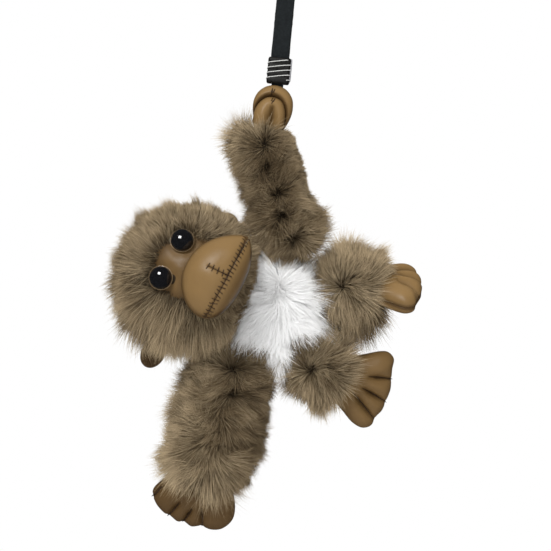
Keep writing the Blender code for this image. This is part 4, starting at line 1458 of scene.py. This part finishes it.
class MONKEY_OT_legs(MonkeyPieces):
    """Grows the fur of both legs and shapes their feet"""
    bl_idname = "monkey.legs"
    bl_label = "Legs"

    def build(self, scene):
        # Each leg's tones paint shade at its source point, and its slope paints a gradient of light
        # across the leg.
        for side, twist, source, tones, painted_light_slope in (
                ("left", 62.0, (-1, -21, 5), (0.72, 0.80), (9, 0, 2)),
                ("right", 0.0, (2, -21, 6.5), (0.50, 0.62), (-2, 0, 0))):
            limb = limb_frame(f"{side}_hip")
            body = f"{side}_leg"
            place = paw_frame(limb, 21, twist)
            mirror = -1 if side == "left" else 1
            outline = [(mirror * x, z) for x, z in FOOT_OUTLINE]
            lines = [((mirror * a[0], a[1]), (mirror * b[0], b[1])) for a, b in FOOT_LINES]
            names = [f"{side}_foot_{name}" for name in ("top_panel", "sole_panel", "toe_lines")]
            nodes = tuple(f"{side}_foot_{name}" for name in ("upper", "sole", "stuffing"))
            # The right foot is painted in shade all over; the left foot is not.
            paw(names, place, outline, (0, -1), (9.6, 8.0), lines, body, nodes,
                0.0 if side == "left" else 0.38)
            skin = stuffed_skin(f"{side}_leg_plush", f"{side}_leg_stuffing")

            def shape(state, left=side == "left"):
                x, _, z = state["local"].T
                low = smoothstep(-5, -16, x)
                if left:
                    low = low * smoothstep(-20, -8, z)
                    hip = smoothstep(-6, 4, z)
                    state["pile"] += 0.45 * low - 0.30 * smoothstep(4, 15, x) * (1 - hip)
                    state["pile"] += 0.24 * hip * smoothstep(0, 12, x)
                    state["tone"] -= 0.28 * low
                    state["lay"] = state["lay"] - low[:, None] * np.array((0.6, 0, 0.1))
                else:
                    state["pile"] -= 0.08 * low + 0.4 * smoothstep(-6, -16, z)
            bare = 1.0 if side == "left" else 5.0
            clear = clear_of(nodes[:2], bare * MM, (bare + 2.0) * MM)
            comb_fur(skin, limb, [source], (0, 0, -0.15), *tones, 15, painted_light_slope,
                     several(shape, clear))
            grow(skin, "brown_fur", body, (f"{side}_leg_fur", f"{side}_leg_stuffing"))


BELLY_STAR = [(30, 29), (22.5, 6), (33, -5), (23.4, -10.5), (13.3, -15.8), (7, -31), (-2, -17.5),
              (-22, -19.5), (-17.2, -6.8), (-19.5, 5.9), (-27, 23), (-14.5, 20.5), (0, 18),
              (12.4, 20.5)]


class MONKEY_OT_torso(MonkeyPieces):
    """Grows the brown fur of the back and the white fur of the front"""
    bl_idname = "monkey.torso"
    bl_label = "Torso"

    def build(self, scene):
        place = torso_frame()
        limbs = ("left_arm_fur", "right_arm_fur", "left_leg_fur", "right_leg_fur", "head_fur")
        clear = clear_of(limbs, 0.6 * MM, 1.8 * MM)

        def inside_star(state):
            x, y, z = state["local"].T
            edge = list(zip(BELLY_STAR, BELLY_STAR[1:] + BELLY_STAR[:1]))
            odd, near = np.zeros(len(x), bool), np.full(len(x), np.inf)
            for (ax, az), (bx, bz) in edge:
                cross = (az > z) != (bz > z)
                odd ^= cross & (x < ax + (z - az) * (bx - ax) / (bz - az + 1e-9))
                dx, dz = bx - ax, bz - az
                t = np.clip(((x - ax) * dx + (z - az) * dz) / (dx ** 2 + dz ** 2), 0, 1)
                near = np.minimum(near, np.hypot(x - ax - t * dx, z - az - t * dz))
            return np.where(odd, near, -near), y

        def fuller_side(state):
            x, _, z = state["local"].T
            state["pile"] += 0.7 * smoothstep(10, 24, x) * smoothstep(2, -10, z)

        def back_only(state):
            deep, y = inside_star(state)
            state["cover"] *= np.maximum(smoothstep(-4.0, 0.0, y), smoothstep(1.0, -1.0, deep))
        skin = stuffed_skin("torso_plush", "torso_stuffing")
        front = link(bpy.data.objects.new("belly_plush", skin.data.copy()))
        # The parting line is painted in shade, and the slope paints the back lighter towards the
        # neck as painted light.
        comb_fur(skin, place, [(0, -24, 24), (0, -24, -20)], (0, 0, -0.45), 0.48, 0.66, 25,
                 (0, 0, 3), several(back_only, clear, fuller_side))
        grow(skin, "brown_fur", "torso", ("torso_fur", "torso_stuffing"))

        turn = place.inverted()
        work = bmesh.new()
        work.from_mesh(front.data)
        centres = np.array([turn @ f.calc_center_median() for f in work.faces]) / MM
        deep, height = inside_star({"local": centres})
        spare = [f for f, d, y in zip(work.faces, deep, height) if y > -2.5 or d < -2.0]
        bmesh.ops.delete(work, geom=spare, context="FACES")
        work.to_mesh(front.data)
        work.free()
        thick = front.modifiers.new("Solidify", "SOLIDIFY")
        thick.thickness, thick.offset = 0.8 * MM, 1.0
        applied(front)

        def front_only(state):
            y = state["local"][:, 1]
            outer = (state["out"] * (state["local"] / np.array((26.0, 17.0, 32.0)) ** 2)).sum(1) > 0
            deep, _ = inside_star(state)
            state["cover"] *= smoothstep(-1.0, -4.0, y) * outer * smoothstep(-1.5, 0.5, deep)
            state["pile"] += 0.25 + 0.45 * smoothstep(2, 16, state["local"][:, 2])
        comb_fur(front, place, [(15.4, -22, 0)], (-0.05, 0, -0.05), 0.5, 0.72, 12, (0, 0, 0),
                 several(front_only, clear))
        grow(front, "white_fur", "torso", ("belly_fur",), Lift=0.25, Gather=0.45)


class MONKEY_OT_head(MonkeyPieces):
    """Grows the fur hood of the head"""
    bl_idname = "monkey.head"
    bl_label = "Head"

    def build(self, scene):
        place = head_frame()
        skin = stuffed_skin("head_plush", "head_stuffing", 3.2 * MM)

        def shape(state):
            x, y, z = state["local"].T
            face = np.hypot(x / 16.6, (z - 2.0) / 16.6)
            open_face = smoothstep(0.93, 1.02, face)
            for side in (-1, 1):
                open_face *= np.hypot(x - side * EYE_APART_MM, z - EYE_UP_MM) > 6.5
            state["cover"] *= np.where(y < 0, open_face, 1.0)
            cheek = smoothstep(-6, -20, x) * smoothstep(32, 6, z) * smoothstep(18, -4, y)
            crown = smoothstep(4, 34, 0.75 * z - 0.66 * x)
            chin = smoothstep(-18, -31, z) * smoothstep(-36, -24, x)
            state["pile"] = 0.84 + 0.72 * cheek + 0.26 * crown - 0.58 * chin
            near = smoothstep(1.3, 1.0, face) * (y < 0)
            # The chin is painted darker as shade under the head, and the pile round the face's
            # opening a little darker as shade at the hood's edge; the cheeks are paler of their
            # own.
            state["tone"] += 0.07 * cheek - 0.02 * near - 0.1 * chin
            lay = state["lay"] + cheek[:, None] * np.array((-0.9, 0.1, -0.35))
            back = smoothstep(0, 20, y)[:, None] * np.array((0, 0, -0.7))
            lay = (lay + back) * (1 - 0.5 * near[:, None])
            lay -= state["out"] * (lay * state["out"]).sum(1, keepdims=True)
            state["lay"] = lay / np.maximum(np.linalg.norm(lay, axis=1, keepdims=True), 1.0)
        clear = clear_of(("muzzle_upper", "muzzle_lower"), 0.6 * MM, 2.2 * MM)
        # The slope paints the head lighter towards the crown as painted light.
        comb_fur(skin, place, [(0, -40, 2)], (0, 0.1, 0), 0.56, 0.58, 30, (0, 0, 1.5),
                 several(shape, clear), 0.8)
        grow(skin, "brown_fur", "head", ("head_fur", "head_stuffing"), Lift=0.34, Tuft=0.0034)


class MONKEY_OT_face(MonkeyPieces):
    """Stretches the leather mask and shapes the muzzle with its sewn mouth and nose line"""
    bl_idname = "monkey.face"
    bl_label = "Face"

    def build(self, scene):
        place = head_frame()
        self.mask(place)
        self.muzzle(scene, place)

    def mask(self, place):
        rings, count = 26, 72
        rows, worn = [], []
        for layer in (0, 1):
            order = range(rings + 1) if layer == 0 else range(rings, -1, -1)
            for k in order:
                s = k / rings
                row = []
                for i in range(count if k else 1):
                    a = 2 * math.pi * i / count
                    x = 21.5 * s * math.cos(a)
                    z = 1.0 + 21.0 * s * math.sin(a)
                    out = MASK_RADIUS_MM - (1.2 if layer else 0.0)
                    y = -math.sqrt(max(0.0, out * out - x * x - z * z * 0.96))
                    if not layer:
                        for side in (-1, 1):
                            gap = math.hypot(x - side * EYE_APART_MM, z - EYE_UP_MM)
                            y += 0.5 * math.exp(-((gap - 6.2) / 2.2) ** 2)
                        y -= 0.6 * math.exp(-(x / 6.0) ** 2) * smoothstep(26, 6, z)
                        y += 0.3 * noise.noise(Vector((x * 0.2, z * 0.2, 3.0)))
                    row.append((x, float(y), z))
                    # Painted shade grows towards the mask's rim, under the hood's pile; the inner
                    # layer is painted in shade too.
                    mark = 0.6 * float(smoothstep(0.50, 0.85, s))
                    worn.append(0.6 if layer else mark)
                rows.append(row)
        points, faces = rings_mesh(rows)
        # The whole mask is also painted about half way to the shaded tan, as shade in the hood.
        leather_piece("face_mask_leather", points, faces, worn, place, "head", ("face_mask",),
                      fill=0.6, shade=0.48)

    def muzzle(self, scene, place):
        outline = [(24.6, -4.6), (20.6, 3.4), (14.6, 9.8), (7.0, 14.2), (-1.0, 15.6), (-9.2, 14.6),
                   (-16.2, 10.8), (-21.4, 5.0), (-23.8, -1.6), (-22.6, -8.0), (-17.6, -12.6),
                   (-9.4, -15.0), (0.0, -15.4), (9.0, -14.4), (16.6, -12.0), (22.2, -8.4)]
        loop = [(p.x, p.z) for p in loop_path([Vector((x, 0, z)) for x, z in outline], 8)]
        mouth = [(24.8, -4.9), (17.0, -5.6), (8.0, -6.2), (-2.0, -6.6), (-12.0, -6.8),
                 (-19.0, -7.0), (-23.2, -6.6)]
        mouth = [(p.x, p.z) for p in smooth_path([Vector((x, 0, z)) for x, z in mouth], 6)]
        nose = [(0.0, 4.6), (0.3, -0.6), (0.6, -6.2)]
        nose = [(p.x, p.z) for p in smooth_path([Vector((x, 0, z)) for x, z in nose], 6)]
        seams = list(zip(mouth, mouth[1:])) + list(zip(nose, nose[1:]))
        rings, depth = 44, 15.6
        rows, worn = [], []
        for k in range(rings + 1):
            swing = math.pi / 2 * k / rings
            s, c = math.sin(swing), math.cos(swing)
            row = []
            for ex, ez in (loop if k else loop[:1]):
                x, z = s * ex, -0.5 + s * (ez + 0.5)
                rise = depth * c ** 0.86
                gap = min(away_from_line(x, z, line)[0] for line in seams)
                low = min(away_from_line(x, z, line)[0] for line in seams[:len(mouth) - 1])
                dip = self.dip(gap) + 0.3 * math.exp(-(low / 5.0) ** 2)
                rise -= dip * c ** 0.3
                rise += 0.35 * c * noise.noise(Vector((x * 0.12, z * 0.12, 9.0)))
                row.append((x, -rise, z))
                # Painted shade: a little over the whole muzzle, more along the seams and on the
                # rim, and most under the chin.
                mark = 0.4 * math.exp(-(gap / 0.6) ** 2) + 0.5 * float(smoothstep(0.9, 1.0, s))
                under = 0.35 * float(smoothstep(-7.0, -13.0, z))
                worn.append(min(0.9, 0.16 + mark + under))
            rows.append(row)
        rows += [[(0.9 * x, 7.0, 0.9 * z) for x, _, z in rows[-1]], [(0, 7.0, 0)]]
        worn += [0.8] * (len(loop) + 1)
        points, faces = rings_mesh(rows)
        at = place @ Matrix.Translation((MUZZLE_SIDE_MM * MM, -37.5 * MM, -12.0 * MM))
        # The shape is split on the mouth's line, and each panel is closed.
        for name, keep_up, nodes in (("muzzle_upper_panel", True, ("muzzle_upper",
                                                                   "muzzle_stuffing")),
                                     ("muzzle_chin_panel", False, ("muzzle_lower",))):
            made = shaped(name, [Vector(p) * MM for p in points], faces, finish("tan_leather"))
            attribute(made.data, "worn", worn)
            outwards(made)
            self.split(made, keep_up)
            made.data.transform(at)
            outwards(made)
            finished(made, "head", "tan_leather", *nodes)
        height = surface_reader(points, faces, -1)
        self.seam(scene, "mouth_stitches", mouth[2:-2], height, at, "mouth_seam", 1.0)
        self.seam(scene, "nose_stitches", nose, height, at, "nose_seam", 0.85)

    def split(self, made, keep_up):
        work = bmesh.new()
        work.from_mesh(made.data)
        side = 1 if keep_up else -1
        whole = work.verts[:] + work.edges[:] + work.faces[:]
        bmesh.ops.bisect_plane(work, geom=whole, dist=1e-7,
                               plane_co=Vector((0, 0, (-6.25 + side * 0.02) * MM)),
                               plane_no=Vector((-0.018, 0, side)).normalized(),
                               clear_inner=True)
        rim = [e for e in work.edges if e.is_boundary]
        bmesh.ops.holes_fill(work, edges=rim)
        work.to_mesh(made.data)
        work.free()
        made.data.shade_smooth()

    @staticmethod
    def dip(gap):
        """How deep the leather is drawn in at a distance from a seam, in millimetres."""
        return 0.40 * math.exp(-(gap / 0.5) ** 2) + 0.35 * math.exp(-(gap / 2.4) ** 2)

    def seam(self, scene, name, line, height, place, node, size):
        """A sewn line with cross stitches set on it, on the muzzle's surface."""
        s = scene.monkey_stitch
        spots = [Vector((x, height(x, z) - 0.15, z)) for x, z in line]
        ups = []
        for x, z in line:
            dx = (height(x + 1.5, z) - height(x - 1.5, z)) / 3
            dz = (height(x, z + 1.5) - height(x, z - 1.5)) / 3
            ups.append(Vector((dx, -1, dz)).normalized())
        turn = place.to_3x3()
        path = [place @ (p * MM) for p in spots]
        mesh = bpy.data.meshes.new(name)
        mesh.from_pydata(path, [(i, i + 1) for i in range(len(path) - 1)], [])
        attribute(mesh, "up", [tuple(turn @ u) for u in ups], "FLOAT_VECTOR")
        made = link(bpy.data.objects.new(name, mesh))
        half = size * s.long / 2
        rows = []
        for i in range(13):
            t = -1 + i / 6
            rise = 0.95 - self.dip(half / MM * t) - 0.12 * t * t - 0.35 * t ** 12
            rows.append(Vector((0, half * t, rise * MM)))
        points, faces = rings_mesh(tube_rows(rows, s.thick / 2, 6))
        stitch = outwards(shaped("one_stitch", points, faces, None))
        values = {"Stitch": stitch, "Pitch": s.pitch, "Material": finish("brown_thread")}
        grown_from(made, shared_tree(stitch_tree, "stitches"), values)
        bpy.data.objects.remove(stitch)
        points, faces = rings_mesh(tube_rows(path, 0.16 * MM, 6))
        thread = outwards(shaped(f"{name}_line", points, faces, finish("brown_thread")))
        finished(made, "head", "brown_thread", node)
        finished(thread, "head", "brown_thread")


class MONKEY_OT_eyes(MonkeyPieces):
    """Turns the two glossy eyes and their thin rims, and finishes the washers behind them"""
    bl_idname = "monkey.eyes"
    bl_label = "Eyes"

    def build(self, scene):
        s = scene.monkey_eye
        head = head_frame()
        for side, name in ((-1, "right"), (1, "left")):
            out = math.sqrt(MASK_RADIUS_MM ** 2 - EYE_APART_MM ** 2 - EYE_UP_MM ** 2)
            seat = Vector((side * EYE_APART_MM, -out, EYE_UP_MM)) * MM
            aim = Vector((seat.x * 0.35, seat.y, seat.z * 0.35)).normalized()
            place = head @ Matrix.Translation(seat + aim * 1.8 * MM)
            place = place @ aim.to_track_quat("Z", "Y").to_matrix().to_4x4()
            rows = [[(0, 0, 0.8 * MM + s.height)]]
            for i in range(1, 25):
                a = math.pi / 2 * i / 24
                rows.append(self.ring(s.radius * math.sin(a), 0.8 * MM + s.height * math.cos(a)))
            for radius, z in ((6.12, 0.5), (6.1, 0.2), (5.6, 0.0), (1.8, -0.2), (1.6, -6.6)):
                rows.append(self.ring(radius * MM, z * MM))
            rows.append([(0, 0, -6.8 * MM)])
            points, faces = rings_mesh(rows)
            dome = outwards(shaped(f"{name}_eye_dome", points, faces, finish("black_gloss"),
                                   place))
            finished(dome, "head", "black_gloss", f"{name}_eye")
            rows = []
            for i in range(13):
                a = 2 * math.pi * i / 12
                rows.append(self.ring((6.08 + 0.22 * math.cos(a)) * MM,
                                      (0.70 + 0.22 * math.sin(a)) * MM))
            points, faces = rings_mesh(rows)
            rim = outwards(shaped(f"{name}_eye_rim", points, faces, finish("eye_rim"), place))
            finished(rim, "head", "black_gloss")
            washer = frame["nodes"][f"{name}_eye_washer"]
            washer.data.materials.clear()
            washer.data.materials.append(finish("white_plastic"))

    @staticmethod
    def ring(radius, z, points=48):
        turn = [2 * math.pi * i / points for i in range(points)]
        return [(radius * math.cos(a), radius * math.sin(a), z) for a in turn]


class MONKEY_OT_ears(MonkeyPieces):
    """Shapes the two small leather ears"""
    bl_idname = "monkey.ears"
    bl_label = "Ears"

    def build(self, scene):
        head = head_frame()
        reach = math.sqrt(HEAD_RADIUS_MM ** 2 - EAR_BACK_MM ** 2) + EAR_OUT_MM
        for side, name in ((-1, "right"), (1, "left")):
            # The right ear stands out of the pile, and the left one is sunk in it.
            apart, wide = (reach + 4.4, 8.4) if side < 0 else (reach - 4.5, 6.0)
            seat = Vector((side * apart, EAR_BACK_MM, -2.5)) * MM
            place = head @ Matrix.Translation(seat)
            rows, worn = [], []
            for k in range(25):
                polar = math.pi * k / 24
                row = []
                for i in range(40 if 0 < k < 24 else 1):
                    a = 2 * math.pi * i / 40
                    s = math.sin(polar)
                    x, z = wide * s * math.cos(a), 6.4 * s * math.sin(a)
                    rim = math.exp(-((s - 0.82) / 0.2) ** 2)
                    y = math.cos(polar) * 2.2 * (0.55 + 0.6 * rim)
                    y += 1.1 * (1 - s * s)
                    row.append((x, y, z))
                    # Painted shade: with the shade argument below, each ear is darkened nearly all
                    # the way to the shaded tan.
                    worn.append(0.85 + 0.1 * (1 - s))
                rows.append(row)
            points, faces = rings_mesh(rows)
            leather_piece(f"{name}_ear_leather", points, faces, worn, place, "head",
                          (f"{name}_ear",), fill=0.4, shade=0.5)


OPERATORS = (MONKEY_OT_stage, MONKEY_OT_strap, MONKEY_OT_keeper, MONKEY_OT_gripping_hand,
             MONKEY_OT_left_arm, MONKEY_OT_right_arm, MONKEY_OT_legs, MONKEY_OT_torso,
             MONKEY_OT_head, MONKEY_OT_face, MONKEY_OT_eyes, MONKEY_OT_ears)
SETTINGS = {"monkey_fur": MonkeyFurSettings, "monkey_leather": MonkeyLeatherSettings,
            "monkey_stitch": MonkeyStitchSettings, "monkey_strap": MonkeyStrapSettings,
            "monkey_eye": MonkeyEyeSettings, "monkey_stage": MonkeyStageSettings}


class MONKEY_PT_panel(bpy.types.Panel):
    """Lists the settings and the operators"""
    bl_idname = "MONKEY_PT_panel"
    bl_label = "Hanging stuffed monkey"
    bl_space_type = "VIEW_3D"
    bl_region_type = "UI"
    bl_category = "Monkey"

    def draw(self, context):
        for key, group in SETTINGS.items():
            box = self.layout.box()
            box.label(text=group.__doc__)
            for field in group.__annotations__:
                box.prop(getattr(context.scene, key), field)
        for operator in OPERATORS:
            self.layout.operator(operator.bl_idname)


def register():
    for group in SETTINGS.values():
        bpy.utils.register_class(group)
    for operator in OPERATORS:
        bpy.utils.register_class(operator)
    bpy.utils.register_class(MONKEY_PT_panel)
    for key, group in SETTINGS.items():
        setattr(bpy.types.Scene, key, PointerProperty(type=group))


def unregister():
    for key in SETTINGS:
        delattr(bpy.types.Scene, key)
    bpy.utils.unregister_class(MONKEY_PT_panel)
    for made in (*reversed(OPERATORS), *reversed(SETTINGS.values())):
        bpy.utils.unregister_class(made)


def main():
    without("Cube", "Camera", "Light")
    register()
    for operator in OPERATORS:
        group, call = operator.bl_idname.split(".")
        getattr(getattr(bpy.ops, group), call)()
    without("strand_blade")


if __name__ == "__main__":
    main()
